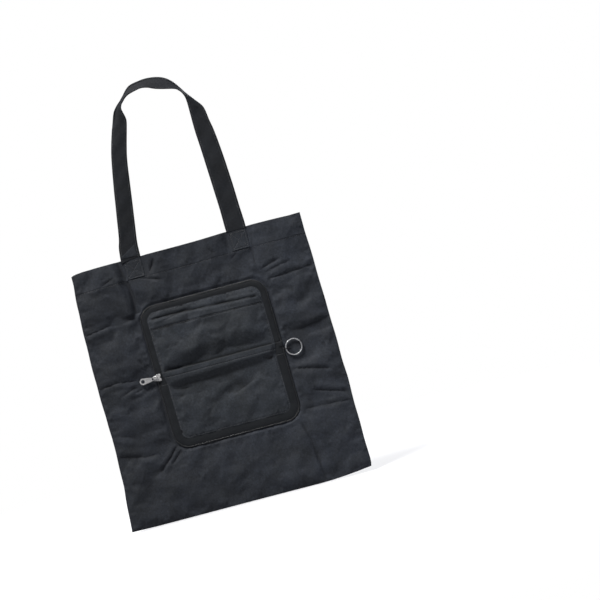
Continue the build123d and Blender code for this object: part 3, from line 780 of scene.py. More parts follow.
# the pouch cover gets stronger painted shade in its valleys
M_POUCH = cloth_mat("pouch_cloth", (0.0232, 0.0258, 0.0290), hollow=0.9)
M_STRAP = cloth_mat("strap_cloth", (0.0084, 0.0093, 0.0111), pitch=1.25, var=0.16)
M_FOOT = cloth_mat("strap_foot_cloth", (0.0170, 0.0190, 0.0222), pitch=1.25, var=0.2)
M_TAPE = tape_mat("zip_tape", (0.0075, 0.0088, 0.0108))
M_TEETH = plastic_mat("zip_teeth", (0.0085, 0.0090, 0.0105))
M_CORD = tape_mat("cord", (0.0080, 0.0085, 0.0095), rib=0.2)
M_THREAD = thread_mat("thread", (0.0165, 0.0185, 0.0225))
M_METAL = metal_mat("zip_metal", (0.74, 0.73, 0.73), 0.20)
M_RING = metal_mat("ring_steel", (0.80, 0.80, 0.81), 0.25, 0.86)


def dress(ob, mat, slot):
    ob.data.materials.clear()
    ob.data.materials.append(mat)
    return ob


# ------------------------------------------------------------ sheet panels
WS = 3.5          # half width of the cloth strips that bend at the side folds
WR = 6.0          # and at the folds above and below the pouch
XC = [-HW, FL - WS, FL, FL + WS, FR - WS, FR, FR + WS, HW]
ZC = [0.0, ZB - WR, ZB, ZB + WR, MID - SP, MID, MID + SP, ZT - WR, ZT, ZT + WR, HT]
XS = dense(XC, 1.75, [-HW, HW])
ZS = dense(ZC, 1.75, [0.0, HEM - 1.6, HT])


def cut(arr, a, b):
    return arr[(arr >= a - 1e-4) & (arr <= b + 1e-4)]


def thick(X, Z):
    t = T_CLOTH + 0.4 * sstep(HEM - 2.6, HEM - 2.2, Z)
    gap = back_y(X, Z) - front_y(X, Z)
    return np.minimum(t, np.maximum(gap / 2 - 0.015, 0.02))


def front_in(X, Z):
    return front_y(X, Z) + thick(X, Z)


def back_in(X, Z):
    return back_y(X, Z) - thick(X, Z)


rows = {"top": (ZT, HT), "upper": (MID, ZT), "lower": (ZB, MID), "bottom": (0.0, ZB)}
cols = {"left": (-HW, FL), "centre": (FL, FR), "right": (FR, HW)}
centre_body = {"top": "top_flap", "upper": "upper_half", "lower": "lower_half", "bottom": "bottom_flap"}

for layer, yo, yi, sgn in (("front", front_y, front_in, -1), ("back", back_y, back_in, 1)):
    def cloth(name, x0, x1, z0, z1):
        return dress(slab(name, cut(XS, x0, x1), cut(ZS, z0, z1), yo, yi, sgn, warp), M_TOTE, "tote_cloth")

    for row, (z0, z1) in rows.items():
        body = centre_body[row]
        for col, x0, x1 in (("left", -HW, FL - WS), ("right", FR + WS, HW)):
            ob = cloth(f"{layer}_cloth_{row}_{col}", x0, x1, z0, z1)
            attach(ob, f"{col}_wing_{row}"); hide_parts(f"{layer}_sheet_{row}_{col}")
            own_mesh(ob)
        for col, xf, s_ in (("left", FL, 1), ("right", FR, -1)):
            ob = cloth(f"{layer}_fold_{row}_{col}", xf - WS, xf + WS, z0, z1)
            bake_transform(ob)
        a = {"top": ZT + WR, "upper": MID + SP, "lower": ZB + WR, "bottom": 0.0}[row]
        b_ = {"top": HT, "upper": ZT - WR, "lower": MID - SP, "bottom": ZB - WR}[row]
        ob = cloth(f"{layer}_cloth_{row}_centre", FL + WS, FR - WS, a, b_)
        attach(ob, body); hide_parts(f"{layer}_sheet_{row}_centre")
        if row in ("top", "bottom"):
            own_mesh(ob)
    ob = cloth(f"{layer}_fold_above", FL + WS, FR - WS, ZT - WR, ZT + WR)
    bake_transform(ob)
    ob = cloth(f"{layer}_fold_below", FL + WS, FR - WS, ZB - WR, ZB + WR)
    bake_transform(ob)
    ob = cloth(f"{layer}_cloth_spine", FL + WS, FR - WS, MID - SP, MID + SP)
    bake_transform(ob)

# ------------------------------------------------------------------- pouch
SHEAR = 0.022


def shear(X, Z):
    return X + SHEAR * (MID - Z) * np.ones_like(np.asarray(X, float)), Z


POUCH_LINES = [
    ([(-88, 315.5), (-62, 316.5), (-20, 315.4), (40, 312.6), (96, 309.6)], 1.2, 1.9, "V", 0.06),
    ([(-71, 307), (-45, 313), (-13, 320)], 0.9, 2.6, "V", 0.3),
    ([(-84, 318), (-60, 316), (-30, 322)], 0.5, 4.0, "G", 0.3),
    ([(85, 322), (88, 312), (92, 306)], 0.6, 2.2, "V", 0.3),
    ([(-82, 262), (-60, 268), (-30, 262)], 0.4, 5.0, "G", 0.4),
    ([(-8, 168), (22, 178), (64, 191)], 1.5, 7.0, "G", 0.3),
    ([(8, 166), (30, 174), (58, 186)], 0.7, 2.6, "V", 0.35),
    ([(-84, 203), (-62, 197), (-40, 196)], 0.7, 2.6, "V", 0.35),
    ([(-80, 190), (-64, 186), (-44, 188)], 0.5, 3.0, "G", 0.4),
    ([(70, 214), (84, 209), (97, 210)], 0.7, 2.4, "V", 0.4),
    ([(-86, 236), (-66, 231), (-46, 230)], 0.7, 2.2, "V", 0.35),
    ([(-70, 140), (-30, 132), (20, 138)], 0.4, 7.0, "G", 0.4),
    ([(30, 136), (60, 128), (88, 136)], 0.4, 6.0, "G", 0.4),
]


FOLD_Z = np.array([-130, -60, -36, -19.5, -16.5, -5.0, -2.5, 0, 5, 10.0])
FOLD_H = np.array([0, 0, -1.4, -3.3, -3.2, 2.8, 3.3, 3.4, 3.4, 3.4])
LENS_X = np.array([PX0, -90, -60, -20, 20, 60, 90, PX1])
LENS_W = np.array([6.0, 10, 18, 25, 33, 33, 18, 6])
LENS_S = np.array([0.16, 0.32, 0.42, 0.42, 0.37, 0.34, 0.24, 0.1])


def cover_puff(X, Z):
    """How far the pouch cover stands off its flat: crown, fold ridge and hollows."""
    d = -pouch_d(X, Z) - ci(Z)
    u = (X - PX) / 94.0
    lens = np.clip(1 - np.abs(u) ** 3.0, 0, 1)
    dz = Z - MID
    # the sewn fold pulls the cloth tight beside it, so wrinkles die out there
    rise = 1 - np.exp(-np.maximum(d, 0) / 13.0)
    tight = 0.8 * np.exp(-((dz + 5.0) / 24.0) ** 2)
    crown = 1.2 * rise + soft_cap(SIM_COVER(X, Z), 4.2) * (1 - tight) + 3.1 * rise * tight
    # below the fold the cover leans back, then comes out again; above it the
    # upper half bulges and falls back into the fold
    ridge = np.mean([np.interp(dz - 0.04 * (X - 30) * sstep(2.0, -6.0, dz) + o, FOLD_Z, FOLD_H) for o in (-1.5, -0.75, 0, 0.75, 1.5)], 0) * (0.68 + 0.32 * lens)
    W = np.interp(X, LENS_X, LENS_W)
    S = np.interp(X, LENS_X, LENS_S)
    up = 0.0
    for o in (-4, -2, 0, 2, 4):
        t = dz - 9.0 + o
        fade = 0.5 + 0.5 * np.cos(np.pi * np.clip((t - W) / np.maximum(92 - W, 1), 0, 1))
        up = up + np.where(t < W, S * (t - 0.53 * W), 0.47 * S * W * fade) / 5
    over = sstep(8.3, 9.1, dz)
    ridge, up, low = ridge * (1 - over), up * over, 0.0
    seam = -0.55 * np.exp(-(np.abs(dz) / 0.8) ** 2)
    wav = (0.3 * noise(W_MED, X + 77, Z + 55) + 0.5 * crumple(X, Z, 5)) * (1 - 0.9 * tight) + 0.06 * noise(W_SML, X, Z + 33)
    top = -0.35 * np.exp(-((d - 1.8) / 1.0) ** 2)
    inn = sstep(0, 9, d)
    h = crown + (np.maximum(ridge + up, 0.4 - crown) + low + wav) * np.maximum(inn, 0.25 * (np.abs(dz) < 40)) + seam + top
    h -= 1.6 * crease_depth(X, Z, POUCH_LINES) * inn
    return h


F_PUFF = Field(cover_puff, PX0 - 2, PX1 + 2, ZB - 2, ZT + 2, 0.6)


def cover_y(X, Z):
    X, Z = np.asarray(X, float), np.asarray(Z, float)
    d = -pouch_d(X, Z) - ci(Z)
    roll = np.sqrt(np.clip(1 - (1 - np.clip(d / 1.3, 0, 1)) ** 2, 0, 1))
    return -2.15 - (0.75 + F_PUFF(X, Z)) * np.clip(roll, 0.05, 1)


def xlim(z, inset):
    """Left and right limit of the pouch outline at this height."""
    z = np.asarray(z, float)
    r = np.maximum(PR - inset, 3.0)
    hz = (ZT - ZB) / 2 - inset
    over = np.clip(np.abs(z - MID) - (hz - r), 0, r)
    cut_ = r - np.sqrt(np.maximum(r * r - over * over, 0))
    return PX0 + inset + cut_, PX1 - inset - cut_


def rows_for(z0, z1, inset, step=1.7):
    """Rows that crowd towards the rounded corners."""
    hz = (ZT - ZB) / 2 - inset
    zz = list(np.linspace(z0, z1, int(abs(z1 - z0) / step) + 2))
    for s in (-1, 1):
        e = MID + s * hz
        if z0 - 1e-6 <= e <= z1 + 1e-6:
            zz += [e - s * o for o in (0.08, 0.25, 0.5, 0.85, 1.3, 1.9, 2.6)]
    return np.array(sorted(set(round(v, 4) for v in zz)))


def panel(name, zs, inset, yf, thick_, nx=110, tf=shear, both=-1):
    """Rounded cloth panel whose rows end on the pouch outline; closed solid."""
    u = np.linspace(0, 1, nx)
    # closer together at the ends, for the rolled edge
    u = 0.5 - 0.5 * np.cos(np.pi * (0.15 * (0.5 - 0.5 * np.cos(np.pi * u)) / 1 + 0.85 * u))
    L, R = xlim(zs, inset)
    X = L[:, None] + (R - L)[:, None] * u[None, :]
    Z = np.repeat(zs[:, None], nx, 1)
    Y = yf(X, Z)
    xw, zw = tf(X, Z)
    Po = np.stack([xw, Y, zw], -1)
    Pi = np.stack([xw, np.maximum(Y + 0.1, Y * 0 - 2.15 + thick_), zw], -1)
    nr, nc = X.shape
    V = np.concatenate([Po.reshape(-1, 3), Pi.reshape(-1, 3)])
    F = grid_faces(nr, nc, 0) + grid_faces(nr, nc, nr * nc, flip=True) + rim_faces(nr, nc, 0, nr * nc)
    r = 3.0
    m = (yf(X + r, Z) + yf(X - r, Z) + yf(X, Z + r) + yf(X, Z - r)) / 4
    cv = np.clip((Y - m) / 0.6, -1, 1)
    # painted shade: the rows under the fold's overhanging step get full valley strength, so the pouch cloth is darkened
    # there
    cv = np.where(np.abs(Z - MID - 8.8) < 1.1, 1.0, cv)
    cv = np.where((X - L[:, None] < 4) | (R[:, None] - X < 4), 0, cv).ravel()
    e = 0.5

    def at(a, b):
        q = tf(a, b)
        return np.stack([q[0], yf(a, b), q[1]], -1)

    N = np.cross(at(X + e, Z) - at(X - e, Z), at(X, Z + e) - at(X, Z - e))
    N /= np.linalg.norm(N, axis=-1, keepdims=True) + 1e-12
    N *= -np.sign(N[..., 1:2] + 1e-9)
    NN = np.concatenate([N.reshape(-1, 3), -N.reshape(-1, 3)])
    return make(name, V, F, True, NN, {"crease": np.concatenate([cv, cv])})


CIU, CIL = 11.0, 14.5
up_z = rows_for(MID + SP, ZT - CIU, CIU)
lo_z = rows_for(ZB + CIL, MID - SP, CIL)
cov_u = dress(panel("pouch_cover_top", up_z, CIU, cover_y, 0.05), M_POUCH, "pouch_cloth")
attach(cov_u, "upper_half"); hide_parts("pouch_cover_upper", "pouch_padding_upper")
cov_l = dress(panel("pouch_cover_base", lo_z, CIL, cover_y, 0.05), M_POUCH, "pouch_cloth")
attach(cov_l, "lower_half"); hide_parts("pouch_cover_lower", "pouch_padding_lower")
spine_z = np.array(sorted(set(np.round(np.concatenate([np.linspace(MID - SP, MID + SP, 33), MID + np.array([8.1, 8.35, 8.6, 8.9, 9.2, 9.4])]), 3))))
cov_s = dress(panel("pouch_cover_spine", spine_z, ci(spine_z), cover_y, 0.05), M_POUCH, "pouch_cloth")
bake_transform(cov_s)

# height for a padding under the covers; nothing below builds the padding
def pad_y(X, Z):
    return np.full(np.shape(X), -2.0)


# slip pocket: a second cloth on the upper cover, open along its hemmed top
PK0, PK1 = MID + SP + 0.5, POCKET_Z
PKI = 12.8


def pk_up(X, Z):
    """The pocket's mouth gapes: its edge bows up towards the left."""
    X, Z = np.asarray(X, float), np.asarray(Z, float)
    return Z + 6.5 * np.interp(X, [PX0, -84, -62, -20, 40, 96, PX1], [0.2, 0.75, 1.0, 0.85, 0.45, 0.05, 0]) * sstep(PK1 - 15, PK1, Z)


def pk_tf(X, Z):
    return shear(X, pk_up(X, Z))


def pocket_y(X, Z):
    X, Z = np.asarray(X, float), np.asarray(Z, float)
    t = (Z - PK0) / (PK1 - PK0)
    dx = np.minimum(X - (PX0 + PKI), (PX1 - PKI) - X)
    lift = 0.45 + 1.5 * sstep(0.72, 1.0, t) * sstep(2, 26, dx) * (0.75 + 0.25 * np.sin(X / 13.0))
    hem = 0.55 * sstep(PK1 - 10.0, PK1 - 8.6, Z)
    dim = -0.85 * np.exp(-((Z - (PK1 - 9.0)) / 1.2) ** 2) - 0.45 * np.exp(-((dx - 1.8) / 1.0) ** 2)
    base_ = cover_y(X, pk_up(X, Z))
    y = base_ - (lift + hem + dim + 0.10 * noise(W_SML, X, Z)) * np.maximum(sstep(0.0, 1.0, dx), 0.15)
    return np.where(t < 0.03, lerp(base_ - 0.03, y, np.clip(t / 0.03, 0, 1)), y)


def pocket_in(X, Z):
    return np.minimum(cover_y(X, pk_up(X, Z)) - 0.02 + 0.3, pocket_y(X, Z) + 0.42)


pk_x = dense([PX0 + PKI, PX1 - PKI], 2.0, [PX0 + PKI, PX1 - PKI])
pk_z = dense([PK0, PK1], 2.0, [PK1, PK1 - 9.0])
pk = dress(slab("slip_pocket_cloth", pk_x, pk_z, pocket_y, pocket_in, -1, pk_tf), M_POUCH, "pouch_cloth")
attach(pk, "upper_half"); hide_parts("slip_pocket")


# ------------------------------------------------------- zip tape and teeth
def ring_path(z_from, half, step):
    """Base points and inward normals along three sides of the pouch half."""
    s = 1 if half == "upper" else -1
    ze = MID + s * ((ZT - ZB) / 2 - PR)
    z0 = MID + s * z_from
    P, Nn = [], []
    n = max(2, int(abs(ze - z0) / step))
    for z in np.linspace(z0, ze, n):
        P.append((PX0, z)); Nn.append((1, 0))
    m = max(6, int(PR * math.pi / 2 / step))
    for a in np.linspace(0, math.pi / 2, m)[1:]:
        P.append((PX0 + PR - PR * math.cos(a), ze + s * PR * math.sin(a)))
        Nn.append((math.cos(a), -s * math.sin(a)))
    n2 = max(2, int((PX1 - PX0 - 2 * PR) / step))
    for x in np.linspace(PX0 + PR, PX1 - PR, n2)[1:]:
        P.append((x, ze + s * PR)); Nn.append((0, -s))
    for a in np.linspace(math.pi / 2, 0, m)[1:]:
        P.append((PX1 - PR + PR * math.cos(a), ze + s * PR * math.sin(a)))
        Nn.append((-math.cos(a), -s * math.sin(a)))
    for z in np.linspace(ze, z0, n)[1:]:
        P.append((PX1, z)); Nn.append((-1, 0))
    return np.array(P), np.array(Nn)


def sweep(P, Nn, prof, name=None, mod=None):
    """Sweeps a closed (inset, y) profile along the path; ends are capped."""
    k, n = len(prof), len(P)
    V = np.zeros((n, k, 3))
    seg = np.concatenate([[0], np.cumsum(np.hypot(*np.diff(P, axis=0).T))])
    for j, (ins, y) in enumerate(prof):
        i_, y_ = np.full(n, float(ins)), np.full(n, float(y))
        if mod:
            i_, y_ = mod(seg, i_, y_, j)
        xz = P + Nn * i_[:, None]
        xs_, zs_ = shear(xz[:, 0], xz[:, 1])
        V[:, j, 0], V[:, j, 1], V[:, j, 2] = xs_, y_, zs_
    F = []
    for i in range(n - 1):
        for j in range(k):
            a, b2 = i * k + j, i * k + (j + 1) % k
            F.append((a, b2, b2 + k, a + k))
    F.append(tuple(range(k))[::-1]); F.append(tuple((n - 1) * k + j for j in range(k)))
    return V.reshape(-1, 3), F


def fix_normals(ob):
    import bmesh
    bm = bmesh.new(); bm.from_mesh(ob.data)
    bmesh.ops.recalc_face_normals(bm, faces=bm.faces)
    bm.to_mesh(ob.data); bm.free()
    return ob


TAPE_UP = [(1.5, -1.75), (2.6, -2.15), (4.2, -2.50), (6.4, -2.72), (9.0, -2.66), (11.0, -2.42), (13.2, -2.30), (13.2, -1.75), (6.0, -1.60), (2.0, -1.55)]
TAPE_LO = [(1.5, -1.75), (2.6, -2.15), (4.8, -2.50), (7.8, -2.72), (11.2, -2.66), (14.2, -2.42), (16.8, -2.30), (16.8, -1.75), (7.0, -1.60), (2.0, -1.55)]


def tape_mod(seg, i_, y_, j):
    f = sstep(0, 10, seg) * sstep(0, 10, seg[-1] - seg)
    if 1 <= j <= 5:
        y_ = y_ - f * (0.22 * np.sin(seg / 9.0 + 0.8 * np.sin(seg / 23.0)) + 0.10 * np.sin(seg / 3.7))
        i_ = i_ + f * 0.25 * np.sin(seg / 13.0)
    return i_, y_


def straight(x, inward, z0, z1, n):
    return np.stack([np.full(n, x), np.linspace(z0, z1, n)], -1), np.tile([inward, 0.0], (n, 1))


for half, body in (("upper", "upper_half"), ("lower", "lower_half")):
    P, Nn = ring_path(SP, half, 1.6)
    ob = fix_normals(make(f"zip_tape_{half}_cloth", *sweep(P, Nn, TAPE_UP if half == "upper" else TAPE_LO, mod=tape_mod)))
    dress(ob, M_TAPE, "zip_tape")
    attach(ob, body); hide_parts(f"zip_tape_{half}")
    # coil: the profile swells and shifts at every turn of the nylon wire
    P, Nn = ring_path(SP if half == "lower" else SP, half, 0.34)
    c0 = [(0.1, -1.9), (0.45, -2.42), (1.2, -2.62), (1.95, -2.42), (2.3, -1.9), (1.95, -1.4), (1.2, -1.2), (0.45, -1.4)]

    def coil_mod(seg, i_, y_, j):
        w = np.sin(seg * 2 * np.pi / 1.36)
        cx, cy = 1.2, -1.9
        f = 0.86 + 0.14 * w
        return cx + (i_ - cx) * f - 0.10 * np.cos(seg * 2 * np.pi / 1.36), cy + (y_ - cy) * f

    ob = fix_normals(make(f"zip_coil_{half}", *sweep(P, Nn, c0, mod=coil_mod)))
    dress(ob, M_TEETH, "zip_teeth")
    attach(ob, body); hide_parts(f"zip_teeth_{half}")

# the tape and teeth across the spine, on both sides
parts_t, parts_c = [], []
for x, inward in ((PX0, 1.0), (PX1, -1.0)):
    P, Nn = straight(x, inward, MID - SP, MID + SP, 25)
    parts_t.append(sweep(P, Nn, TAPE_LO, mod=lambda seg, i_, y_, j: (lerp(i_, TAPE_UP[j][0], sstep(0, 1, seg / seg[-1])), lerp(y_, TAPE_UP[j][1], sstep(0, 1, seg / seg[-1])))))
    P, Nn = straight(x, inward, MID - SP, MID + SP, 60)
    parts_c.append(sweep(P, Nn, c0, mod=coil_mod))
for nm, pr, mt, sl in (("zip_tape_spine", parts_t, M_TAPE, "zip_tape"), ("zip_coil_spine", parts_c, M_TEETH, "zip_teeth")):
    ob = dress(fix_normals(make(nm, *merge(pr))), mt, sl)
    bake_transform(ob)

# cloth tab over the zip's end, and the cord loop
tb0, tb1 = cadbox("zip_end_tab")
tx = np.linspace(tb0[0], tb1[0], 11); tz = np.linspace(tb0[2], tb1[2], 11)


def tab_y(X, Z):
    u = np.abs((X - (tb0[0] + tb1[0]) / 2) / ((tb1[0] - tb0[0]) / 2)); v = np.abs((Z - (tb0[2] + tb1[2]) / 2) / ((tb1[2] - tb0[2]) / 2))
    return -2.65 - 0.75 * np.sqrt(np.clip(1 - np.maximum(u, v) ** 4, 0, 1)) - 0.1


ob = slab("zip_end_tab_cloth", tx, tz, tab_y, lambda X, Z: np.full(np.shape(X), -2.62), -1, shear)
dress(ob, M_TAPE, "zip_tape"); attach(ob, "upper_half"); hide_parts("zip_end_tab")

cb0, cb1 = cadbox("ring_cord")
cr = 0.75
bend = (cb1[1] - cb0[1]) / 2 - cr
cy, cz = (cb0[1] + cb1[1]) / 2, (cb0[2] + cb1[2]) / 2
xa, xb = cb0[0] + cr + bend, cb1[0] - cr - bend
pth = []
for t in np.linspace(0, 1, 14)[:-1]:
    pth.append((xa + (xb - xa) * t, cy - bend))
for a in np.linspace(-math.pi / 2, math.pi / 2, 26)[:-1]:
    pth.append((xb + bend * math.cos(a), cy + bend * math.sin(a)))
for t in np.linspace(0, 1, 14)[:-1]:
    pth.append((xb + (xa - xb) * t, cy + bend))
for a in np.linspace(math.pi / 2, 3 * math.pi / 2, 26)[:-1]:
    pth.append((xa + bend * math.cos(a), cy + bend * math.sin(a)))
pth = np.array(pth); n = len(pth); k = 16
V, F = [], []
for i in range(n):
    t = pth[(i + 1) % n] - pth[i - 1]; t /= np.hypot(*t)
    nx_, ny_ = -t[1], t[0]
    for j in range(k):
        a = 2 * math.pi * j / k
        r = cr * (0.93 + 0.07 * math.cos(2 * (a - 2 * math.pi * 5 * i / n)) )
        V.append((pth[i][0] + nx_ * r * math.cos(a), pth[i][1] + ny_ * r * math.cos(a), cz + r * math.sin(a)))
for i in range(n):
    for j in range(k):
        F.append((i * k + j, i * k + (j + 1) % k, ((i + 1) % n) * k + (j + 1) % k, ((i + 1) % n) * k + j))
ob = dress(fix_normals(make("ring_cord_braid", V, F)), M_CORD, "cord")
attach(ob, "ring_cord"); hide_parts("ring_cord")

# ------------------------------------------------------------------ handles
# the two edges of the strap, outer then inner, from one foot to the other,
# then the depth of its middle, its tilt and how far its edges roll back
LOOP = [
    (-105.2, 413.5, -72.4, 419, -0.3, 0.0, 0.0), (-102.6, 438, -71.8, 438, -0.9, -0.4, 0.1), (-98.2, 455, -69.8, 455, -1.1, -0.8, 0.1),
    (-91.8, 495, -64.2, 494, -1.2, -1.0, 0.2), (-85.4, 535, -59.0, 532, -1.2, -1.0, 0.3), (-78.2, 575, -53.4, 571, -1.3, -0.6, 0.4),
    (-72.2, 600, -47.8, 595, -1.4, 0.2, 0.6), (-66.2, 620, -42.2, 615, -1.6, 1.4, 0.8), (-62.8, 629.5, -38.4, 630, -1.8, 2.4, 0.9),
    (-60.3, 637, -38.5, 638, -2.0, 3.6, 1.1), (-57.6, 645, -40.4, 646, -2.2, 4.2, 1.4), (-54.2, 652, -41.2, 652, -2.4, 4.6, 1.6),
    (-48.3, 659, -39.0, 659, -2.5, 5.0, 1.6), (-40.6, 666, -36.2, 662.8, -2.5, 5.2, 1.4), (-34.0, 673, -31.5, 667.6, -2.3, 5.0, 0.9),
    (-27.5, 680.2, -23.5, 671.3, -2.0, 4.6, 0.5), (-19.2, 685.6, -13.5, 673.8, -1.9, 4.2, 0.3), (-5.0, 688.4, -4.0, 675.2, -1.8, 4.0, 0.2),
    (7.0, 689.4, 6.0, 673.4, -1.8, 3.9, 0.2), (20.0, 688.2, 17.0, 668.7, -1.8, 3.8, 0.2), (30.0, 685.6, 27.0, 665.7, -1.9, 3.9, 0.3),
    (38.4, 681.6, 37.0, 663.3, -2.0, 4.2, 0.4), (46.0, 675.6, 44.5, 661.4, -2.1, 4.6, 0.8), (51.5, 669.4, 49.6, 659.4, -2.2, 5.0, 1.2),
    (56.6, 662.0, 53.2, 656.8, -2.3, 5.2, 1.5), (63.6, 651.3, 58.0, 650.8, -2.2, 4.8, 1.5), (70.6, 642.2, 61.0, 643, -2.1, 4.2, 1.3),
    (77.6, 633.2, 61.9, 634, -1.9, 3.4, 1.0), (83.8, 624.8, 62.0, 626, -1.7, 2.7, 0.7), (86.7, 616, 62.0, 617, -1.5, 2.0, 0.5),
    (88.8, 600, 62.0, 602, -1.4, 1.5, 0.3), (91.8, 583, 62.3, 586, -1.3, 1.2, 0.2), (94.7, 555, 64.0, 557, -1.2, 1.0, 0.2),
    (96.9, 525, 65.4, 526, -1.1, 0.7, 0.1), (98.8, 490, 67.0, 490, -1.0, 0.5, 0.1), (100.0, 455, 68.4, 455, -0.9, 0.3, 0.0),
    (101.2, 432, 68.6, 432, -0.6, 0.2, 0.0), (101.4, 419, 69.0, 419, -0.3, 0.0, 0.0)]


def catmull(A, t):
    A = np.array(A, float)
    n = len(A)
    x = t * (n - 1)
    i = np.clip(np.floor(x).astype(int), 0, n - 2)
    f = (x - i)[:, None]
    p0, p1, p2, p3 = A[np.maximum(i - 1, 0)], A[i], A[i + 1], A[np.minimum(i + 2, n - 1)]
    return 0.5 * (2 * p1 + (p2 - p0) * f + (2 * p0 - 5 * p1 + 4 * p2 - p3) * f ** 2 + (3 * p1 - p0 - 3 * p2 + p3) * f ** 3)


def strap(name, root_l, root_r, sgn, trim=0.0, thick_=1.15, seed=0):
    """Strap loop: doubled cloth, crowned, tilted where it turns into the arch.
    sgn is -1 for the front loop and +1 for the back one."""
    A = np.array(LOOP, float)
    mid = (A[:, 0:2] + A[:, 2:4]) / 2
    s0 = np.concatenate([[0], np.cumsum(np.hypot(*np.diff(mid, axis=0).T))])
    # even steps along the strap
    N0 = 420
    C = catmull(A, np.interp(np.linspace(0, s0[-1], N0), s0, np.linspace(0, 1, len(A))))
    O, I, dep = C[:, 0:2], C[:, 2:4], C[:, 4:7]
    if trim:
        w = np.hypot(*(O - I).T)[:, None]
        d = (O - I) / w
        t_ = np.minimum(trim, w * 0.2)
        O, I = O - d * t_, I + d * t_
    ts = np.linspace(0, 1, N0)
    root = lerp(root_l, root_r, ts)
    blend_ = sstep(0, 0.05, ts) * sstep(0, 0.05, 1 - ts)
    K = 23
    us = np.linspace(-1, 1, K)
    M = (O + I) / 2
    seg = np.concatenate([[0], np.cumsum(np.hypot(*np.diff(M, axis=0).T))])
    P = np.zeros((N0, K, 3))
    for j, u in enumerate(us):
        q = I + (O - I) * (u + 1) / 2
        P[:, j, 0], P[:, j, 2] = q[:, 0], q[:, 1]
        wv = 0.5 * np.sin(seg / 21.0 + 1.1 * u + seed) * (1 - u * u) + 0.28 * np.sin(seg / 9.0 - 2.0 * u + 2 * seed) + 0.18 * np.sin(seg / 5.3 + 3.0 * u + seed)
        off = dep[:, 0] + dep[:, 1] * u + dep[:, 2] * np.abs(u) ** 1.3 + wv * blend_
        P[:, j, 1] = root - sgn * off
    dS = np.gradient(P, axis=0); dU = np.gradient(P, axis=1)
    Nn = np.cross(dS, dU); Nn /= np.linalg.norm(Nn, axis=-1, keepdims=True) + 1e-9
    Nn *= np.where(Nn[..., 1:2] > 0, -1.0, 1.0)
    edge = np.sqrt(np.clip(1 - np.abs(us) ** 9, 0.02, 1))
    dimple = 1 - 0.30 * np.exp(-((np.abs(us) * 14.5 - 11.6) / 0.8) ** 2)
    tt = (thick_ / 2) * edge * dimple
    A_ = P + Nn * tt[None, :, None]
    B_ = P - Nn * tt[None, :, None]
    nr, nc = N0, K
    V = np.concatenate([A_.reshape(-1, 3), B_.reshape(-1, 3)])
    F = grid_faces(nr, nc, 0) + grid_faces(nr, nc, nr * nc, flip=True) + rim_faces(nr, nc, 0, nr * nc)
    ob = fix_normals(make(name, V, F, True, None, {"crease": np.zeros(len(V))}))
    return ob, P, Nn, tt, seg


def stitch_mesh(pts, nrm, size=(1.15, 0.30, 0.24)):
    """Short threads, each a small spindle lying along the line."""
    V, F = [], []
    k = 6
    for p, d, n_ in zip(*pts, nrm) if isinstance(pts, tuple) else []:
        d = np.asarray(d, float); n_ = np.asarray(n_, float)
        d = d / (np.linalg.norm(d) + 1e-9)
        n_ = n_ - d * (n_ @ d); n_ /= np.linalg.norm(n_) + 1e-9
        s = np.cross(d, n_)
        base = len(V)
        prof = [(-1.0, 0.25), (-0.72, 0.8), (0.0, 1.0), (0.72, 0.8), (1.0, 0.25)]
        for a, r in prof:
            c = np.asarray(p) + d * a * size[0] - n_ * 0.10 * (a * a)
            for j in range(k):
                th = 2 * math.pi * j / k
                V.append(c + s * math.cos(th) * size[1] * r + n_ * math.sin(th) * size[2] * r)
        for i in range(len(prof) - 1):
            for j in range(k):
                F.append((base + i * k + j, base + i * k + (j + 1) % k, base + (i + 1) * k + (j + 1) % k, base + (i + 1) * k + j))
        F.append(tuple(base + j for j in range(k))[::-1])
        F.append(tuple(base + (len(prof) - 1) * k + j for j in range(k)))
    return V, F


def along(line, pitch):
    line = np.array(line, float)
    seg = np.concatenate([[0], np.cumsum(np.linalg.norm(np.diff(line, axis=0), axis=1))])
    n = max(1, int(seg[-1] // pitch))
    s = (np.arange(n) + 0.5) * seg[-1] / n
    P = np.stack([np.interp(s, seg, line[:, i]) for i in range(line.shape[1])], -1)
    Q = np.stack([np.interp(np.minimum(s + 0.2, seg[-1]), seg, line[:, i]) for i in range(line.shape[1])], -1)
    R_ = np.stack([np.interp(np.maximum(s - 0.2, 0), seg, line[:, i]) for i in range(line.shape[1])], -1)
    return P, Q - R_


def surf_stitches(lines, yf, sgn, tf, pitch=3.3, lift=0.08):
    """Stitches along (x, z) lines lying on a height surface."""
    PP, DD, NNN = [], [], []
    e = 0.4
    for ln in lines:
        P, D = along(ln, pitch)

        def at(q):
            xw, zw = tf(q[:, 0], q[:, 1])
            return np.stack([xw, yf(q[:, 0], q[:, 1]), zw], -1)

        c = at(P)
        d = at(P + D) - at(P - D)
        ex = at(P + [e, 0]) - at(P - [e, 0]); ez = at(P + [0, e]) - at(P - [0, e])
        n_ = np.cross(ex, ez); n_ /= np.linalg.norm(n_, axis=1, keepdims=True) + 1e-9
        n_ *= np.sign(n_[:, 1:2]) * sgn
        PP.append(c + n_ * lift); DD.append(d); NNN.append(n_)
    return stitch_mesh((np.concatenate(PP), np.concatenate(DD)), np.concatenate(NNN))


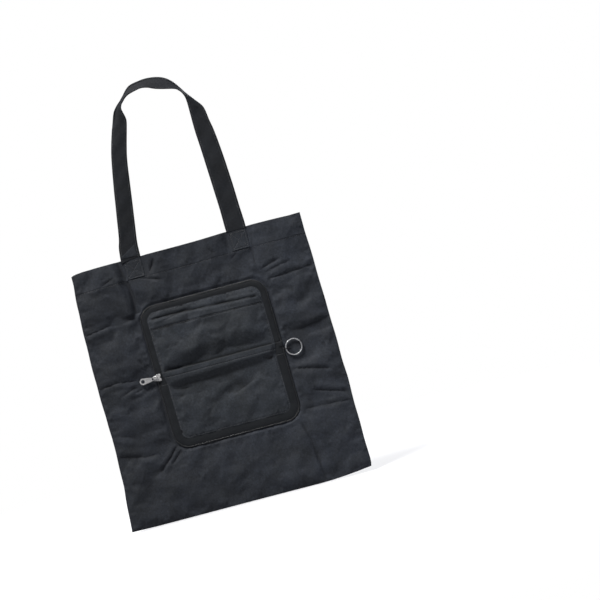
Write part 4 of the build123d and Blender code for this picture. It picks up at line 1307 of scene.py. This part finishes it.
# sewn ends of the handles, on both sides of the bag
def end_y_factory(cx, yf, sgn):
    def f(X, Z):
        X, Z = np.asarray(X, float), np.asarray(Z, float)
        d = np.minimum.reduce([14.5 - np.abs(X - cx), Z - HEM, np.full(np.shape(X), 99.0)])
        r = np.sqrt(np.clip(1 - (1 - np.clip(d / 0.9, 0, 1)) ** 2, 0.02, 1))
        ins = np.minimum(14.5 - np.abs(X - cx), Z - HEM)
        dim = 0.32 * np.exp(-((ins - 2.6) / 0.8) ** 2) * sstep(HT - 1.0, HT - 3.0, Z)
        u, v = (X - cx) / 11.9, (Z - (HEM + 15.2)) / 12.6
        box_ = (np.abs(u) < 1) & (np.abs(v) < 1)
        dia = np.minimum(np.abs(u - v), np.abs(u + v)) * 8.0
        dim = dim + 0.30 * np.exp(-(dia / 0.9) ** 2) * box_
        puff = 0.35 * np.clip(1 - np.abs(u) ** 2, 0, 1)
        return yf(X, Z) + sgn * ((0.95 + puff - dim) * r)
    return f


ends = {}
for side, yf, sgn in (("front", front_y, -1), ("back", back_y, 1)):
    for hand, cx in (("left", HL), ("right", HR)):
        f = end_y_factory(cx, yf, sgn)
        xs_ = dense([cx - 14.5, cx + 14.5], 1.2, [cx - 14.5, cx + 14.5])
        zs_ = dense([HEM, HT + (3.2 if hand == "left" else 2.2)], 1.2, [HEM])
        ob = slab(f"{side}_strap_end_{hand}", xs_, zs_, f, lambda X, Z, yf=yf, sgn=sgn: yf(X, Z) + sgn * 0.03, sgn, warp)
        dress(ob, M_FOOT, "strap"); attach(ob, "top_flap"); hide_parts(f"{side}_handle_end_{hand}")
        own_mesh(ob)
        b0, b1, b2, b3 = cx - 11.9, cx + 11.9, HEM + 2.6, HEM + 27.8
        lines = [[(b0, b2), (b1, b2), (b1, b3), (b0, b3), (b0, b2)], [(b0, b2), (b1, b3)], [(b0, b3), (b1, b2)]]
        ob = make(f"{side}_strap_stitches_{hand}", *surf_stitches(lines, f, sgn, warp, 2.9))
        dress(ob, M_THREAD, "strap"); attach(ob, "top_flap")
        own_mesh(ob)
        ends[side, hand] = float(f(np.array([cx]), np.array([HT]))[0]) - sgn * 0.62

for side, sgn, shr, sd in (("front", -1, 0.0, 0.0), ("back", 1, 1.6, 1.7)):
    ob, P, Nn, tt, seg = strap(f"{side}_handle_strap", ends[side, "left"], ends[side, "right"], sgn, shr, seed=sd)
    dress(ob, M_STRAP, "strap")
    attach(ob, f"{side}_handle"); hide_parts(f"{side}_handle_loop")
    if side == "front":
        st_ = np.nonzero(seg < 45)[0]
        Q = (P + Nn * tt[None, :, None])[st_].reshape(-1, 3)

        def on_strap(u, v, Q=Q):
            x = -102.4 + 25.4 * u / 25.4
            z = 421.0 + v / 16.0 * (3.2 + 14.2 * u / 25.4)
            return x, z

        def flap_y(u, v, Q=Q):
            u, v = np.asarray(u, float), np.asarray(v, float)
            x, z = on_strap(u, v)
            d2 = (x[..., None] - Q[:, 0]) ** 2 + (z[..., None] - Q[:, 2]) ** 2
            w = np.exp(-d2 / 2.5) + 1e-12
            base_ = (w * Q[:, 1]).sum(-1) / w.sum(-1)
            edge_ = np.minimum.reduce([u, 25.4 - u, 16.0 - v])
            r = np.sqrt(np.clip(1 - (1 - np.clip(edge_ / 1.1, 0, 1)) ** 2, 0.02, 1))
            fold_ = 0.35 * np.exp(-((u - 15.0 + 0.5 * v) / 2.2) ** 2) - 0.25 * np.exp(-((u - 7.0) / 2.5) ** 2)
            return base_ - (0.55 + 0.6 * fold_ + 0.4 * np.clip(v / 16.0, 0, 1) * (1 - v / 16.0)) * r

        fl = slab("front_strap_turned_corner", np.linspace(0, 25.4, 28), np.linspace(0, 16, 22), flap_y, lambda u, v: flap_y(u, v) + 0.40, -1, on_strap)
        dress(fl, M_FOOT, "strap"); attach(fl, "front_handle")
        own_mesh(fl)
    # two rows of stitches, on both faces
    parts = []
    K = P.shape[1]
    for u in (-0.80, 0.80):
        j = (u + 1) / 2 * (K - 1); j0 = int(j); f_ = j - j0
        line = P[:, j0] * (1 - f_) + P[:, j0 + 1] * f_
        nn = Nn[:, j0] * (1 - f_) + Nn[:, j0 + 1] * f_
        s3 = np.concatenate([[0], np.cumsum(np.linalg.norm(np.diff(line, axis=0), axis=1))])
        n_st = int(s3[-1] / 3.3)
        s = (np.arange(n_st) + 0.5) * s3[-1] / n_st
        c = np.stack([np.interp(s, s3, line[:, i]) for i in range(3)], -1)
        d = np.stack([np.interp(s + 0.3, s3, line[:, i]) - np.interp(s - 0.3, s3, line[:, i]) for i in range(3)], -1)
        nv = np.stack([np.interp(s, s3, nn[:, i]) for i in range(3)], -1)
        for face in (1, -1):
            parts.append(stitch_mesh((c + face * nv * 0.50, d), face * nv, (1.05, 0.26, 0.18)))
    st = make(f"{side}_handle_stitches", *merge(parts))
    dress(st, M_THREAD, "strap")
    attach(st, f"{side}_handle")
    for o in (ob, st):
        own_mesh(o)

# ------------------------------------------------------- stitches elsewhere
def hem_line(x0, x1, z):
    return [(x, z) for x in np.linspace(x0, x1, 40)]


for layer, yf, sgn in (("front", front_y, -1), ("back", back_y, 1)):
    for col, (x0, x1) in cols.items():
        a, b_ = max(x0, -HW + 3), min(x1, HW - 3)
        lines = [hem_line(a + (WS if col != "left" else 0), b_ - (WS if col != "right" else 0), HEM - 1.6)]
        ob = make(f"{layer}_hem_stitches_{col}", *surf_stitches(lines, yf, sgn, warp, 3.4, 0.05))
        dress(ob, M_THREAD, "tote_cloth")
        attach(ob, "top_flap" if col == "centre" else f"{col}_wing_top")
        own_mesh(ob)


def inset_line(half, ins, z_from):
    P, Nn = ring_path(z_from, half, 1.5)
    return (P + Nn * ins).tolist()


for half, body in (("upper", "upper_half"), ("lower", "lower_half")):
    yf = cover_y
    lines = [inset_line(half, (CIU if half == "upper" else CIL) + 1.8, SP + 1.0)]
    ob = make(f"pouch_stitches_{half}", *surf_stitches(lines, yf, -1, shear, 3.2, 0.05))
    dress(ob, M_THREAD, "pouch_cloth"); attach(ob, body)
lines = [hem_line(PX0 + PKI + 2, PX1 - PKI - 2, PK1 - 9.0), [(PX0 + PKI + 1.8, z) for z in np.linspace(PK0 + 2, PK1 - 1, 20)], [(PX1 - PKI - 1.8, z) for z in np.linspace(PK0 + 2, PK1 - 1, 20)]]
ob = make("pocket_stitches", *surf_stitches(lines, pocket_y, -1, pk_tf, 3.2, 0.05))
dress(ob, M_THREAD, "pouch_cloth"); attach(ob, "upper_half")
ob = make("spine_stitches", *surf_stitches([hem_line(PX0 + 13, PX1 - 13, MID)], cover_y, -1, shear, 3.2, 0.05))
dress(ob, M_THREAD, "pouch_cloth")
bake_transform(ob)

# -------------------------------------------------------------------- metal
for nname in ("slider_body", "slider_bridge", "pull_tab", "zip_end_stop"):
    o = frame["nodes"][nname]
    o.data.materials.clear(); o.data.materials.append(M_METAL)
o = frame["nodes"]["key_ring"]
o.data.materials.clear(); o.data.materials.append(M_RING)

# -------------------------------------------------------------------- stage
def plane(name, size, z, mat):
    me = bpy.data.meshes.new(name)
    s = size
    me.from_pydata([(-s, -s, z), (s, -s, z), (s, s, z), (-s, s, z)], [], [(0, 1, 2, 3)])
    ob = bpy.data.objects.new(name, me); bpy.context.scene.collection.objects.link(ob)
    me.materials.append(mat)
    return ob


mf = bpy.data.materials.new("floor"); mf.use_nodes = True
nt = mf.node_tree; nt.nodes.clear()
out = nt.nodes.new("ShaderNodeOutputMaterial"); add = nt.nodes.new("ShaderNodeAddShader"); far = nt.nodes.new("ShaderNodeMixShader")
df = nt.nodes.new("ShaderNodeBsdfDiffuse"); df.inputs[0].default_value = (0.30, 0.30, 0.31, 1)
em = nt.nodes.new("ShaderNodeEmission"); em.inputs[0].default_value = (1, 1, 1, 1)
wh = nt.nodes.new("ShaderNodeEmission"); wh.inputs[0].default_value = (1, 1, 1, 1)
lp = nt.nodes.new("ShaderNodeLightPath")
nt.links.new(mth(nt, "MULTIPLY", lp.outputs["Is Camera Ray"], 0.62), em.inputs[1])
nt.links.new(mth(nt, "ADD", mth(nt, "MULTIPLY", lp.outputs["Is Camera Ray"], 0.92), 0.08), wh.inputs[1])
vec, x, y, z = xyz(nt)
d2 = mth(nt, "SQRT", mth(nt, "ADD", mth(nt, "MULTIPLY", x, x), mth(nt, "MULTIPLY", y, y)))
mr = nt.nodes.new("ShaderNodeMapRange"); mr.interpolation_type = "SMOOTHSTEP"
mr.inputs["From Min"].default_value = 0.25; mr.inputs["From Max"].default_value = 1.3
nt.links.new(d2, mr.inputs["Value"])
nt.links.new(df.outputs[0], add.inputs[0]); nt.links.new(em.outputs[0], add.inputs[1])
nt.links.new(mr.outputs[0], far.inputs[0]); nt.links.new(add.outputs[0], far.inputs[1]); nt.links.new(wh.outputs[0], far.inputs[2])
nt.links.new(far.outputs[0], out.inputs[0])
plane("floor", 12.0, -0.0062, mf)

world = bpy.data.worlds.new("studio"); bpy.context.scene.world = world
world.use_nodes = True
nt = world.node_tree; nt.nodes.clear()
out = nt.nodes.new("ShaderNodeOutputWorld"); mixs = nt.nodes.new("ShaderNodeMixShader")
lp = nt.nodes.new("ShaderNodeLightPath")
bg1 = nt.nodes.new("ShaderNodeBackground"); bg1.inputs[0].default_value = (1, 1, 1, 1); bg1.inputs[1].default_value = 1.0
bg2 = nt.nodes.new("ShaderNodeBackground"); bg2.inputs[1].default_value = 1.0
tc = nt.nodes.new("ShaderNodeTexCoord"); sp = nt.nodes.new("ShaderNodeSeparateXYZ")
nt.links.new(tc.outputs["Generated"], sp.inputs[0])
sky = ramp(nt, mth(nt, "ADD", mth(nt, "MULTIPLY", sp.outputs[2], 0.5), 0.5), [(0.0, (0.04, 0.042, 0.045)), (0.48, (0.10, 0.105, 0.115)), (0.72, (0.26, 0.27, 0.29)), (1.0, (0.60, 0.62, 0.66))])
nt.links.new(sky, bg2.inputs[0])
nt.links.new(lp.outputs["Is Camera Ray"], mixs.inputs[0])
nt.links.new(bg2.outputs[0], mixs.inputs[1]); nt.links.new(bg1.outputs[0], mixs.inputs[2])
nt.links.new(mixs.outputs[0], out.inputs[0])


def area(name, loc, target, size, power, color=(1, 1, 1)):
    l = bpy.data.lights.new(name, "AREA"); l.shape = "RECTANGLE"
    l.size, l.size_y = size; l.energy = power; l.color = color
    o = bpy.data.objects.new(name, l); bpy.context.scene.collection.objects.link(o)
    o.location = loc
    o.rotation_euler = (Vector(target) - Vector(loc)).to_track_quat("-Z", "Y").to_euler()
    return o


area("key", (-1.08, -1.44, 3.33), (0.0, 0.0, 0.22), (0.9, 0.9), 196.0, (1.0, 0.99, 0.97))
area("fill", (0.90, -0.95, 0.85), (0.15, 0.0, 0.25), (0.8, 0.8), 1.7, (0.92, 0.95, 1.0))
area("rear", (0.7, 1.4, 1.7), (0.0, 0.0, 0.25), (1.0, 0.8), 34.0)

# ------------------------------------------------------------------- camera
PXMM, A0, B0, TX, TY = 0.6292034, 0.0, 0.0, 252.2048, 498.6954
ang = math.radians(14.8906)
mmpx = 1 / PXMM
du, dv = 300 - TX, 300 - TY
ca, sa = math.cos(ang), math.sin(ang)
ccx = (ca * du - sa * dv) * mmpx
ccz = -(sa * du + ca * dv) * mmpx
cam = bpy.data.cameras.new("main"); cam.lens = 100.0; cam.sensor_width = 36.0; cam.sensor_fit = "HORIZONTAL"
span = 600 * mmpx / 1000.0
dist = span / 36.0 * 100.0
co = bpy.data.objects.new("main", cam); bpy.context.scene.collection.objects.link(co)
right = Vector((ca, 0, -sa)); upv = Vector((sa, 0, ca)); back = right.cross(upv)
co.matrix_world = Matrix(((right.x, upv.x, back.x, ccx / 1000), (right.y, upv.y, back.y, -dist), (right.z, upv.z, back.z, ccz / 1000), (0, 0, 0, 1)))
bpy.context.scene.camera = co
bpy.context.scene.view_settings.view_transform = "Standard"
bpy.context.scene.view_settings.look = "None"
